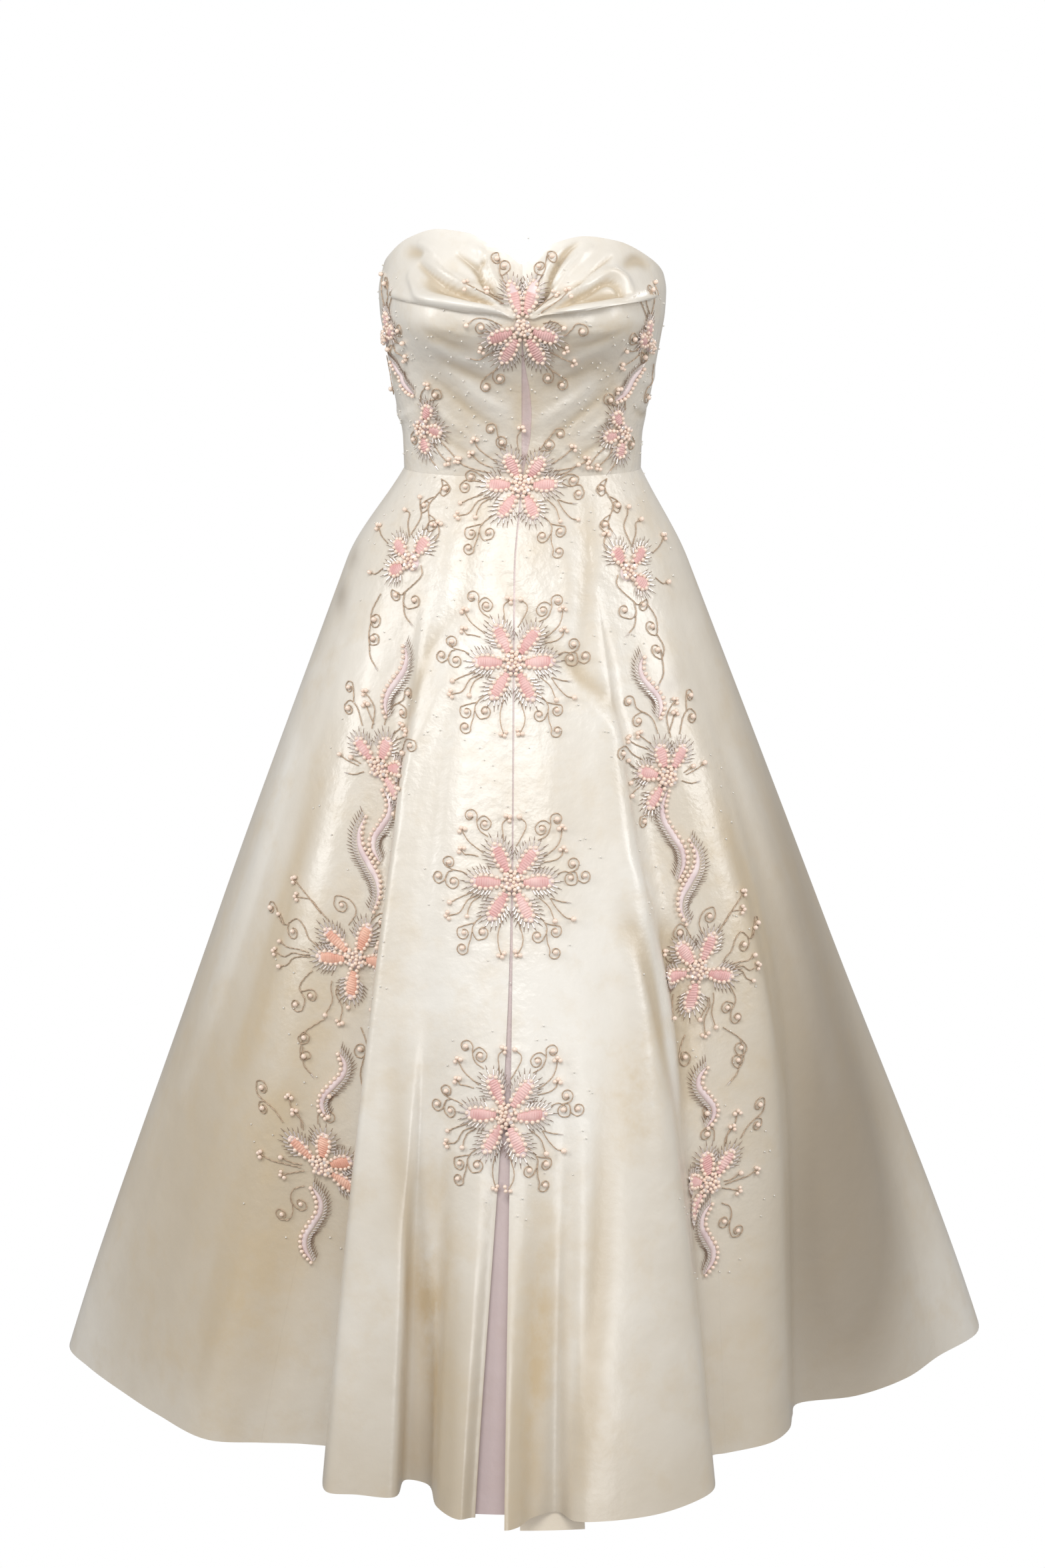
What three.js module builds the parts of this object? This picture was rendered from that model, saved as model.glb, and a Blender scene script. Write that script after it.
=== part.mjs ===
// A strapless ball gown, worn and filled out, as a shell of separate cut pieces.
// Millimetres, +Z up, -Y is the front, +X is the wearer's left. The origin is the middle of the waist.
import * as THREE from "three";

// Driving sizes
const WALL = 1.6; // satin with its backing
const UNDERLAY_WALL = 1.2;
const SEAM_GAP = 0.3;
const SKIRT_DROP = 894; // waist to hem, measured straight down
const HIP_SHARE = 0.1; // share of the drop where the hip ring lies
const MID_SHARE = 0.5; // share of the drop where the middle ring lies
const HIP_SHIFT = -5; // the hip sits this far towards the wearer's right
const HEM_FLATTENING = 0.85; // how much of its slope a gore keeps at the hem
const SIDE_SEAM_TURN = 84; // degrees from the front
const SIDE_BACK_TURN = 126;
const KNOT_HEIGHT = 150; // where the bust pleats meet at the centre front

// Rings of the skirt that are plain ellipses: half width, depth in front, depth behind
const WAIST_RING = { half: 114.5, front: 85, back: 93 };
const HIP_RING = { half: 166, front: 128, back: 138 };

// Bodice rings: height, half width, depth in front, depth behind
const BODICE_RINGS = [
  [0, 114.5, 85, 93],
  [31, 115.5, 86, 94],
  [57, 120.5, 90, 97],
  [80, 125, 95, 100],
  [105, 129, 102, 104],
  [128, 133, 108, 107],
  [150, 136.5, 110, 110],
  [170, 137.5, 109, 111],
  [193, 133, 103, 109],
  [214, 126.5, 97.5, 106],
  [235, 118, 91, 103],
];

// The fullness of each cup: degrees from the front, height, how far out, spread across, up and down
const CUP = { turn: 31, height: 150, out: 34, wide: 25, up: 52, down: 38, sideways: 0.6 };

// Folds of each draped cup, fanned round the knot: angle above level, how far it stands out
const CUP_FOLDS = [
  [6, 3.6],
  [20, 4],
  [35, 4.4],
  [51, 3.4],
];
const FOLD_HALF_ANGLE = 6.5;
const FOLD_REACH = 105; // a cup fold dies out this far from the knot

// Top edge: degrees from the front, height
const NECKLINE = [
  [-180, 128],
  [-150, 135],
  [-120, 163],
  [-97, 188],
  [-77, 205],
  [-60, 221.5],
  [-40, 231],
  [-24, 228],
  [-14, 218],
  [-6, 209],
  [0, 200],
  [6, 209],
  [14, 219.5],
  [27, 225],
  [44, 220],
  [66, 203],
  [82, 190],
  [100, 176],
  [120, 158],
  [150, 135],
  [180, 128],
];

// Lower edge of a cup: degrees from the front, height
const CUP_EDGE = [
  [0, KNOT_HEIGHT],
  [4, 153],
  [8, 157],
  [20, 160],
  [28, 163.5],
  [40, 166.5],
  [60, 169],
  [84, 172],
];

// Princess seam of the bodice: height, degrees from the front
const PRINCESS_TURN = 44;
const PRINCESS_SEAM = [
  [0, 51.5],
  [50, 47],
  [97, PRINCESS_TURN],
  [170, PRINCESS_TURN],
];

// Slit at the centre front of the bodice: height, opening
const SLIT = [
  [0, 1],
  [20, 5],
  [40, 8.6],
  [61, 9.5],
  [80, 8],
  [110, 3],
  [137, 0.8],
  [150, 0.8],
];
const SLIT_EDGE = -0.9; // its straight edge, across from the centre front

// Skirt columns from the centre front round the wearer's left side: seam or fold name, degrees at
// the waist, degrees at the hip, then degrees and reach on the middle ring and on the hem
const LEFT_COLUMNS = [
  ["cf_left", 0.4, -0.6, -1.9, 285, -2, 464],
  ["slit_roll", 3, 2, 1, 286, -0.6, 458],
  ["recess", 6, 5, 4, 286, 1.2, 436],
  ["recess_floor", 9.5, 8.5, 7.5, 286, 4.2, 424],
  ["recess_end", 13, 12, 11, 287, 6, 446],
  ["front", 18, 16, 15.5, 288, 9.5, 450],
  ["front", 23, 20, 19.5, 290, 15.5, 446],
  ["front", 26.5, 23.5, 23, 289, 20.8, 432],
  ["front_crest", 29, 25.5, 25.5, 283, 24.9, 414],
  ["front_crest_side", 30.5, 26.5, 28.2, 270, 27.8, 380],
  ["front_valley", 32, 27.5, 32, 262, 31, 345],
  ["side_front_left", 34, 29, 37.2, 266, 33.4, 347],
  ["side_front", 41, 38, 43.5, 280, 41.5, 354],
  ["side_crest", 50, 48, 50, 288, 47.5, 345],
  ["side_crest_side", 56, 54, 55, 284, 52.8, 327],
  ["side_valley", 60, 59, 59.5, 280, 57.8, 316],
  ["side", 66, 66, 66, 286, 65.5, 358],
  ["side", 74, 74, 74, 294, 75, 394],
  ["side_left", 82, 82, 82, 297, 84, 421],
  ["side", 91, 91, 91, 300, 93.5, 470],
  ["side", 101, 101, 101, 300, 102, 474],
];

// The same round the wearer's right side, where degrees count the other way
const RIGHT_COLUMNS = [
  ["cf_right", 0.4, 1.2, 2.6, 284, 5.6, 438],
  ["lobe", 3, 4, 6, 286, 7.4, 444],
  ["lobe_side", 8, 9, 10, 287, 10.6, 420],
  ["trough", 12, 12, 14, 288, 13.6, 372],
  ["trough", 15, 15, 17, 288, 17, 368],
  ["front", 18, 18, 19.5, 289, 16.6, 408],
  ["front", 23, 22, 23.5, 291, 21.5, 414],
  ["front_crest", 31, 27, 27.5, 292, 25, 420],
  ["front_crest_side", 34, 30, 29.3, 280, 27.8, 395],
  ["front_valley", 38.5, 34, 31, 255, 32, 330],
  ["front_valley_end", 42, 37, 34, 252, 37.5, 338],
  ["side_front_right", 45.7, 40, 37.6, 258, 43, 362],
  ["side_front", 52, 48, 46, 280, 49, 394],
  ["side_front", 58, 56, 55, 290, 61, 403],
  ["side_front", 62, 61, 60.5, 292, 70, 415],
  ["side_right", 66, 66, 66, 295, 80.5, 440],
  ["side", 76, 76, 78, 303, 88, 461],
  ["side", 90, 90, 92, 304, 97, 455],
  ["side", 102, 102, 103, 300, 106, 440],
];

// Soft folds of the back, alike on both sides: degrees, reach on the middle ring, reach on the hem
const BACK_COLUMNS = [
  [112, 294, 428],
  [122, 304, 452],
  [132, 293, 426],
  [142, 303, 450],
  [152, 294, 428],
  [162, 302, 450],
  [172, 296, 436],
];
const SIDE_BACK_COLUMN = 2; // the back column that is the side-back seam
const CENTRE_BACK = { mid: 300, hem: 446 };

// Samples
const STEPS_PER_COLUMN = 2;
const SKIRT_ROWS = [0, 0.03, 0.065, 0.1, 0.18, 0.29, 0.4, 0.5, 0.61, 0.74, 0.87, 1];
const BODICE_STEP = 4; // degrees between the columns of the bodice's front
const BACK_STEP = 5.3; // and of its back
const BODICE_ROWS = 9;
const FRONT_ROWS = 13; // more, because the front hollows quickly under the cups
const NUDGE = 0.01; // part of a column, for measuring how wide a column is

// Embroidery pads: their clearance from the panel below, and their heights
const PAD_CLEAR = 0.96;
const PAD_RIM = 1.1;
const PETAL_HEIGHT = 3.4;
const CLUSTER_HEIGHT = 5;
const PETAL_SPREAD = 24; // degrees to each side over which a petal falls away
const BETWEEN_PETALS = { reach: 0.5, height: 1.6 };
const PAD_SECTORS = 20;
const PAD_RINGS = 3;
const SLIT_BRIDGE = 14; // over the slit a pad clears whatever stands proud this close beside it
const SEAM_BRIDGE = 2.5; // and so close beside it over a side-front seam
const COLUMN_STRIDE = 0.05; // columns walked at a time when a distance is measured round the skirt

// Flowers: name, line it is placed from, how far across that line, height, radius, petal directions
const CENTRE_PETALS = [8, 58, 122, 172, 236, 304];
const FLOWERS = [
  ["flower_centre_1", "centre", 0, 143, 42, [74, 112, 200, 241, 298, 340]],
  ["flower_centre_2", "centre", 0, -8, 46, CENTRE_PETALS],
  ["flower_centre_3", "centre", 0, -165, 52, CENTRE_PETALS],
  ["flower_centre_4", "centre", 0, -355, 52, CENTRE_PETALS],
  ["flower_centre_5", "centre", 0, -553, 52, CENTRE_PETALS],
  ["flower_bodice_right_1", "princess_right", -66, 128, 30, [80, 20]],
  ["flower_bodice_right_2", "princess_right", -12, 44, 31, [60, -8, -75]],
  ["flower_bodice_left_1", "princess_left", 43, 122, 30, [100, 160]],
  ["flower_bodice_left_2", "princess_left", 13, 39, 31, [125, 188, 255]],
  ["flower_right_1", "seam_right", 6, -79, 36, [140, 55, 205]],
  ["flower_right_2", "seam_right", -3, -267, 38, [125, 62, 5, -50]],
  ["flower_right_3", "seam_right", 0, -439, 40, [135, 178, 255, 62, 0]],
  ["flower_right_4", "seam_right", 4, -631, 40, [128, 62, 8, -50]],
  ["flower_left_1", "seam_left", 27, -88, 36, [125, 45, -35]],
  ["flower_left_2", "seam_left", 13, -274, 38, [110, 60, 165, 235]],
  ["flower_left_3", "seam_left", 3, -448, 40, [130, 72, 185, 265, -12]],
  ["flower_left_4", "seam_left", -5, -643, 38, [115, 65, 165, 230]],
];

// Feather leaves: name, line it is placed from, then points down its middle as across and height
const LEAVES = [
  ["leaf_bodice_right", "princess_right", [[-63, 105], [-46, 98], [-31, 89], [-21, 76]]],
  ["leaf_bodice_left", "princess_left", [[36, 101], [18, 95], [6, 84], [3, 71]]],
  ["leaf_right_1", "seam_right", [[12, -156], [9, -177], [8, -197], [-1, -220]]],
  ["leaf_right_2", "seam_right", [[13, -304], [15, -316], [16, -332], [11, -351]]],
  ["leaf_right_3", "seam_right", [[-10, -320], [-20, -339], [-9, -358], [6, -378], [9, -398]]],
  ["leaf_right_4", "seam_right", [[-2, -523], [9, -541], [9, -563], [1, -580]]],
  ["leaf_right_5", "seam_right", [[-3, -673], [8, -686], [19, -700], [12, -723]]],
  ["leaf_left_1", "seam_left", [[24, -168], [11, -177], [14, -197], [20, -222]]],
  ["leaf_left_2", "seam_left", [[7, -318], [2, -330], [-8, -345], [-2, -368]]],
  ["leaf_left_3", "seam_left", [[26, -336], [27, -352], [14, -380], [2, -404]]],
  ["leaf_left_4", "seam_left", [[2, -538], [-9, -548], [-8, -568], [-3, -589]]],
  ["leaf_left_5", "seam_left", [[-4, -684], [-9, -694], [-18, -706], [-12, -726]]],
];
const LEAF_WIDTH = 15;
const LEAF_TIP_WIDTH = 4;
const LEAF_HEIGHT = 2.6;
const LEAF_SECTIONS = 9;

// Lilac strip behind the skirt's slit: share of the drop, degrees of its edges, how far it lies
// behind the slit's edge
const SKIRT_UNDERLAY = [
  [0.004, -6, 6, 2.25],
  [0.1, -5, 4, 2.8],
  [0.5, -6, 2, 4.5],
  [1, -8.6, 1.6, 10],
];
const BODICE_UNDERLAY = { from: -5, to: 9, bottom: 2, top: 146, behind: WALL + 0.8 };
const UNDERSKIRT = { from: -0.3, to: 7.6, reach: 421.6, top: -850, bottom: -911, lean: 0.264 };

const toRadians = THREE.MathUtils.degToRad;
const { lerp, clamp } = THREE.MathUtils;

// A smooth value from the rows of a table, by its first column, that never overshoots the rows
function tableValue(table, at, column) {
  const last = table.length - 1;
  const x = clamp(at, table[0][0], table[last][0]);
  let k = 0;
  while (k < last - 1 && x > table[k + 1][0]) k += 1;
  const step = (i) => table[i + 1][0] - table[i][0];
  const slope = (i) => (table[i + 1][column] - table[i][column]) / step(i);
  const tangent = (i) => {
    if (i === 0) return slope(0);
    if (i === last) return slope(last - 1);
    const [before, after] = [slope(i - 1), slope(i)];
    if (before * after <= 0) return 0;
    const weights = [2 * step(i) + step(i - 1), step(i) + 2 * step(i - 1)];
    return (weights[0] + weights[1]) / (weights[0] / before + weights[1] / after);
  };
  const length = step(k);
  const w = (x - table[k][0]) / length;
  return hermite(table[k][column], table[k + 1][column], tangent(k), tangent(k + 1), w, length);
}

function hermite(from, to, slopeFrom, slopeTo, w, length) {
  const rise = to - from;
  const [a, b] = [slopeFrom * length, slopeTo * length];
  return from + a * w + (3 * rise - 2 * a - b) * w * w + (a + b - 2 * rise) * w * w * w;
}

function onEllipse(turn, ring) {
  const angle = toRadians(turn);
  const depth = Math.cos(angle) > 0 ? ring.front : ring.back;
  return [ring.half * Math.sin(angle), -depth * Math.cos(angle)];
}

function onCircle(turn, reach) {
  return onEllipse(turn, { half: reach, front: reach, back: reach });
}

// Columns of the whole skirt in order round it, with the degrees on the right side made to go on
// from the left side's up to a full turn
function skirtColumns() {
  const backColumn = (name, turn, mid, hem) => [name, turn, turn, turn, mid, turn, hem];
  const backName = (k, side) => (k === SIDE_BACK_COLUMN ? "side_back_" + side : "back_fold");
  const round = ([name, waist, hip, mid, midReach, hem, hemReach]) => {
    return [name, 360 - waist, 360 - hip, 360 - mid, midReach, 360 - hem, hemReach];
  };
  const back = (side) => BACK_COLUMNS.map((row, k) => backColumn(backName(k, side), ...row));
  return [
    ...LEFT_COLUMNS,
    ...back("left"),
    backColumn("centre_back", 180, CENTRE_BACK.mid, CENTRE_BACK.hem),
    ...[...RIGHT_COLUMNS, ...back("right")].reverse().map(round),
  ];
}

const COLUMNS = skirtColumns();
const columnOf = (name) => COLUMNS.findIndex((row) => row[0] === name);

// One closed smooth curve through all the columns, at each of the four rings
function ringCurve(place) {
  const points = COLUMNS.map((row) => new THREE.Vector3(...place(row), 0));
  return new THREE.CatmullRomCurve3(points, true, "centripetal");
}

const RING_CURVES = [
  ringCurve(([, waist]) => onEllipse(waist, WAIST_RING)),
  ringCurve(([, , hip]) => {
    const [x, y] = onEllipse(hip, HIP_RING);
    return [x + HIP_SHIFT, y];
  }),
  ringCurve(([, , , turn, reach]) => onCircle(turn, reach)),
  ringCurve(([, , , , , turn, reach]) => onCircle(turn, reach)),
];

// A point of the skirt's outer face: column is fractional, share runs from waist to hem
function skirtPoint(column, share) {
  const place = (column / COLUMNS.length + 1) % 1;
  const [waist, hip, mid, hem] = RING_CURVES.map((curve) => curve.getPoint(place));
  const axis = (key) => {
    const top = (hip[key] - waist[key]) / HIP_SHARE;
    const upper = (mid[key] - hip[key]) / (MID_SHARE - HIP_SHARE);
    const lower = (hem[key] - mid[key]) / (1 - MID_SHARE);
    const middle = (upper + lower) / 2;
    if (share < HIP_SHARE) {
      return hermite(waist[key], hip[key], top * 0.9, upper, share / HIP_SHARE, HIP_SHARE);
    }
    if (share < MID_SHARE) {
      const length = MID_SHARE - HIP_SHARE;
      return hermite(hip[key], mid[key], upper, middle, (share - HIP_SHARE) / length, length);
    }
    const length = 1 - MID_SHARE;
    const end = lower * HEM_FLATTENING;
    return hermite(mid[key], hem[key], middle, end, (share - MID_SHARE) / length, length);
  };
  return new THREE.Vector3(axis("x"), axis("y"), -SKIRT_DROP * share);
}

// A point of the bodice's outer face
function bodicePoint(turn, height) {
  const ring = {
    half: tableValue(BODICE_RINGS, height, 1),
    front: tableValue(BODICE_RINGS, height, 2),
    back: tableValue(BODICE_RINGS, height, 3),
  };
  const [x, y] = onEllipse(turn, ring);
  const aside = (Math.abs(turn) - CUP.turn) / CUP.wide;
  const above = (height - CUP.height) / (height > CUP.height ? CUP.up : CUP.down);
  const out = (CUP.out * Math.exp(-aside * aside - above * above)) / Math.hypot(x, y);
  return new THREE.Vector3(x * (1 + out * CUP.sideways), y * (1 + out), height);
}

// How far the cup's pleats stand out at a place on the bodice
function pleatRelief(turn, height) {
  const across = Math.abs(toRadians(turn)) * bodicePoint(turn, height).setZ(0).length();
  const up = height - KNOT_HEIGHT;
  const distance = Math.hypot(across, up);
  const angle = THREE.MathUtils.radToDeg(Math.atan2(up, across));
  const fade = Math.sin(Math.PI * clamp(distance / FOLD_REACH, 0, 1));
  const stands = CUP_FOLDS.map(([at, out]) => {
    const off = (angle - at) / FOLD_HALF_ANGLE;
    return out * Math.exp(-off * off);
  });
  return fade * stands.reduce((sum, out) => sum + out, 0);
}

// The outward normal of a face given as a function of two numbers
function normalOf(face, u, v, stepU, stepV) {
  const alongU = face(u + stepU, v).sub(face(u - stepU, v));
  const alongV = face(u, v + stepV).sub(face(u, v - stepV));
  return alongU.cross(alongV).normalize();
}

// Outward means that u runs round from front to the wearer's left, and v runs up
function skirtOffset(column, share, out) {
  const normal = normalOf((u, v) => skirtPoint(u, -v), column, -share, NUDGE, 0.002);
  return skirtPoint(column, share).addScaledVector(normal, out);
}

function bodiceOffset(turn, height, out) {
  const normal = normalOf(bodicePoint, turn, height, 0.2, 0.5);
  return bodicePoint(turn, height).addScaledVector(normal, out);
}

// A closed solid between two grids of points, outer and inner, each [column][row]. Columns run
// round towards the wearer's left and rows run up.
function solidBetween(outer, inner) {
  const columns = outer.length;
  const rows = outer[0].length;
  const positions = [...outer.flat(), ...inner.flat()].flatMap((p) => [p.x, p.y, p.z]);
  const outerAt = (i, j) => i * rows + j;
  const innerAt = (i, j) => columns * rows + i * rows + j;
  const faces = [];
  const quad = (a, b, c, d) => faces.push(a, b, c, a, c, d);
  for (let i = 0; i < columns - 1; i += 1) {
    for (let j = 0; j < rows - 1; j += 1) {
      quad(outerAt(i, j), outerAt(i + 1, j), outerAt(i + 1, j + 1), outerAt(i, j + 1));
      quad(innerAt(i, j), innerAt(i, j + 1), innerAt(i + 1, j + 1), innerAt(i + 1, j));
    }
    quad(outerAt(i + 1, 0), outerAt(i, 0), innerAt(i, 0), innerAt(i + 1, 0));
    const top = rows - 1;
    quad(outerAt(i, top), outerAt(i + 1, top), innerAt(i + 1, top), innerAt(i, top));
  }
  for (let j = 0; j < rows - 1; j += 1) {
    const last = columns - 1;
    quad(outerAt(0, j), outerAt(0, j + 1), innerAt(0, j + 1), innerAt(0, j));
    quad(outerAt(last, j + 1), outerAt(last, j), innerAt(last, j), innerAt(last, j + 1));
  }
  return geometryFrom(positions, faces);
}

function geometryFrom(positions, faces) {
  const geometry = new THREE.BufferGeometry();
  geometry.setAttribute("position", new THREE.Float32BufferAttribute(positions, 3));
  geometry.setIndex(faces);
  geometry.computeVertexNormals();
  return geometry;
}

function grid(us, vs, point) {
  return us.map((u) => vs.map((v) => point(u, v)));
}

function evenly(from, to, steps) {
  return Array.from({ length: steps + 1 }, (_, k) => lerp(from, to, k / steps));
}

// Materials
const MATERIALS = {
  satin: { color: 0xe8dfc8, roughness: 0.38, metalness: 0 },
  lilac: { color: 0xc8b4b4, roughness: 0.45, metalness: 0 },
  lining: { color: 0xefe8d8, roughness: 0.6, metalness: 0 },
  embroidery: { color: 0xd9aaa6, roughness: 0.5, metalness: 0 },
  leaf: { color: 0xd3bcbc, roughness: 0.5, metalness: 0 },
};

const gown = new THREE.Group();

function addPiece(name, geometry, material) {
  const mesh = new THREE.Mesh(geometry, new THREE.MeshStandardMaterial(MATERIALS[material]));
  mesh.name = name;
  gown.add(mesh);
}

// Skirt gore between two columns. At a seam it keeps half the gap on each side, and at the slit
// its edge is the column itself.
function skirtGore(from, to, openFrom, openTo) {
  const stepsAcross = (to - from) * STEPS_PER_COLUMN;
  const shares = SKIRT_ROWS.map((share) => Math.max(share, SEAM_GAP / 2 / SKIRT_DROP)).reverse();
  const halfGap = (column, share) => {
    const width = skirtPoint(column + NUDGE, share).distanceTo(skirtPoint(column - NUDGE, share));
    return ((SEAM_GAP / 2) * 2 * NUDGE) / width;
  };
  const columnAt = (column, share) => {
    if (column === from && !openFrom) return column + halfGap(column, share);
    if (column === to && !openTo) return column - halfGap(column, share);
    return column;
  };
  const points = (out) => {
    const across = evenly(from, to, stepsAcross);
    return grid(across, shares, (u, v) => skirtOffset(columnAt(u, v), v, out));
  };
  return solidBetween(points(0), points(-WALL));
}

function addSkirt() {
  const end = COLUMNS.length;
  const seams = {
    front_left: [0, columnOf("side_front_left"), true, false],
    side_front_left: [columnOf("side_front_left"), columnOf("side_left")],
    side_back_left: [columnOf("side_left"), columnOf("side_back_left")],
    back_left: [columnOf("side_back_left"), columnOf("centre_back")],
    back_right: [columnOf("centre_back"), columnOf("side_back_right")],
    side_back_right: [columnOf("side_back_right"), columnOf("side_right")],
    side_front_right: [columnOf("side_right"), columnOf("side_front_right")],
    front_right: [columnOf("side_front_right"), end - 1, false, true],
  };
  for (const [name, range] of Object.entries(seams)) {
    addPiece("skirt_" + name, skirtGore(...range), "satin");
  }
}

// A bodice piece between two edges, each given as degrees by height, and between a bottom and a
// top, each given as height by degrees
function bodicePiece({ from, to, bottom, top, steps, rows, relief = () => 0 }) {
  const place = (u, v) => {
    const middle = lerp(from(0), to(0), 0.5);
    let height = lerp(bottom(middle), top(middle), v);
    let turn = 0;
    for (let pass = 0; pass < 3; pass += 1) {
      turn = lerp(from(height), to(height), u);
      height = lerp(bottom(turn), top(turn), v);
    }
    return [turn, height];
  };
  const points = (out) =>
    grid(evenly(0, 1, steps), evenly(0, 1, rows), (u, v) => {
      const [turn, height] = place(u, v);
      return bodiceOffset(turn, height, out + (out < 0 ? 0 : relief(turn, height)));
    });
  return solidBetween(points(0), points(-WALL));
}

// The degrees that a width across the bodice takes at a height and turn
function degreesAcross(width, turn, height) {
  const perDegree = bodicePoint(turn + 0.5, height).distanceTo(bodicePoint(turn - 0.5, height));
  return width / perDegree;
}

function addBodice() {
  const half = SEAM_GAP / 2;
  const cupEdge = (turn) => tableValue(CUP_EDGE, Math.abs(turn), 1);
  const neckline = (turn) => tableValue(NECKLINE, turn, 1);
  const princess = (height) => tableValue(PRINCESS_SEAM, height, 1);
  const waist = () => half;
  const slitRight = (height) => degreesAcross(SLIT_EDGE, 0, height);
  const slitLeft = (height) => {
    return degreesAcross(SLIT_EDGE + tableValue(SLIT, height, 1), 0, height);
  };
  const seam = (turn, side) => (height) => {
    const at = typeof turn === "function" ? turn(height) : turn;
    return at + side * degreesAcross(half, at, height);
  };
  const mirrored = (turn) => (height) => -turn(height);
  const underCup = (turn) => cupEdge(turn) - half;
  const overCup = (turn) => cupEdge(turn) + half;
  const columns = (from, to, step) => Math.round((to - from) / step);
  const shapes = {
    bodice_front: {
      from: slitLeft,
      to: seam(princess, -1),
      fromRight: slitRight,
      bottom: waist,
      top: underCup,
      steps: columns(0, PRINCESS_TURN, BODICE_STEP),
      rows: FRONT_ROWS,
    },
    bodice_side_front: {
      from: seam(princess, 1),
      to: seam(SIDE_SEAM_TURN, -1),
      bottom: waist,
      top: underCup,
      steps: columns(PRINCESS_TURN, SIDE_SEAM_TURN, BODICE_STEP),
      rows: BODICE_ROWS,
    },
    bust_cup: {
      from: seam(0, 1),
      to: seam(SIDE_SEAM_TURN, -1),
      bottom: overCup,
      top: neckline,
      steps: columns(0, SIDE_SEAM_TURN, BODICE_STEP),
      rows: BODICE_ROWS,
      relief: pleatRelief,
    },
    bodice_side_back: {
      from: seam(SIDE_SEAM_TURN, 1),
      to: seam(SIDE_BACK_TURN, -1),
      bottom: waist,
      top: neckline,
      steps: columns(SIDE_SEAM_TURN, SIDE_BACK_TURN, BACK_STEP),
      rows: BODICE_ROWS,
    },
    bodice_back: {
      from: seam(SIDE_BACK_TURN, 1),
      to: seam(180, -1),
      bottom: waist,
      top: neckline,
      steps: columns(SIDE_BACK_TURN, 180, BACK_STEP),
      rows: BODICE_ROWS,
    },
  };
  for (const [name, shape] of Object.entries(shapes)) {
    addPiece(name + "_left", bodicePiece(shape), "satin");
    const right = {
      ...shape,
      from: mirrored(shape.to),
      to: shape.fromRight ?? mirrored(shape.from),
    };
    addPiece(name + "_right", bodicePiece(right), "satin");
  }
}

function addUnderlays() {
  const strip = BODICE_UNDERLAY;
  const behind = (out) =>
    grid(evenly(strip.from, strip.to, 6), evenly(strip.bottom, strip.top, 16), (turn, height) =>
      bodiceOffset(turn, height, out - strip.behind),
    );
  addPiece("bodice_underlay", solidBetween(behind(0), behind(-UNDERLAY_WALL)), "lilac");

  const slitColumn = COLUMNS.length - 1;
  const shares = evenly(1, SKIRT_UNDERLAY[0][0], 14);
  const behindSlit = (out) =>
    grid(evenly(0, 1, 4), shares, (u, share) => {
      const turn = lerp(...[1, 2].map((c) => tableValue(SKIRT_UNDERLAY, share, c)), u);
      const edge = skirtPoint(slitColumn, share);
      const reach = Math.hypot(edge.x, edge.y) - tableValue(SKIRT_UNDERLAY, share, 3) + out;
      return new THREE.Vector3(...onCircle(turn, reach), edge.z);
    });
  addPiece("skirt_underlay", solidBetween(behindSlit(0), behindSlit(-UNDERLAY_WALL)), "lilac");

  const hem = UNDERSKIRT;
  const leaning = (height) => hem.reach - hem.lean * (height + SKIRT_DROP);
  const underskirt = (out) =>
    grid(evenly(hem.from, hem.to, 6), evenly(hem.bottom, hem.top, 2), (turn, height) =>
      new THREE.Vector3(...onCircle(turn, leaning(height) + out), height),
    );
  addPiece("underskirt_hem", solidBetween(underskirt(0), underskirt(-UNDERLAY_WALL)), "lining");
}

// The lines that embroidery is placed from: the skirt column, the bodice's degrees by height, and
// how far to each side a pad there lies over what stands proud, as at the slit's edges
const LINES = {
  centre: { column: COLUMNS.length - 0.5, turn: () => 0, bridge: SLIT_BRIDGE },
  seam_left: { column: columnOf("side_front_left"), bridge: SEAM_BRIDGE },
  seam_right: { column: columnOf("side_front_right"), bridge: SEAM_BRIDGE },
  princess_left: { turn: (height) => tableValue(PRINCESS_SEAM, height, 1) },
  princess_right: { turn: (height) => -tableValue(PRINCESS_SEAM, height, 1) },
};

// The column that lies a distance round the skirt from another, at a share of the drop
function columnBeside(from, share, across) {
  const step = COLUMN_STRIDE * (Math.sign(across) || 1);
  let column = from;
  let left = Math.abs(across);
  let here = skirtPoint(column, share);
  while (left > 0) {
    const next = skirtPoint(column + step, share);
    const length = here.distanceTo(next);
    column += step * Math.min(1, left / length);
    left -= length;
    here = next;
  }
  return column;
}

// A point over the gown's face, from a line: so far across it, at a height, and so far out
function overFace(line, across, height, out) {
  if (height >= 0) {
    const start = line.turn(height);
    let turn = start;
    const step = Math.sign(across) || 1;
    let left = Math.abs(across);
    while (left > 0) {
      const length = 1 / degreesAcross(1, turn, height);
      turn += step * Math.min(1, left / length);
      left -= length;
    }
    const proud = height > KNOT_HEIGHT ? pleatRelief(turn, height) : 0;
    return bodiceOffset(turn, height, out + proud);
  }
  const share = -height / SKIRT_DROP;
  const column = columnBeside(line.column, share, across);
  const proud = line.bridge ? proudBeside(column, share, line.bridge) : 0;
  return skirtOffset(column, share, out + proud);
}

// How far the cloth beside a place on the skirt, at most so far away, stands over it
function proudBeside(column, share, reach) {
  const here = skirtPoint(column, share);
  const normal = skirtOffset(column, share, 1).sub(here);
  const stands = [-1, -0.5, 0.5, 1].map((side) => {
    const beside = columnBeside(column, share, side * reach);
    return skirtPoint(beside, share).sub(here).dot(normal);
  });
  return Math.max(0, ...stands);
}

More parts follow.
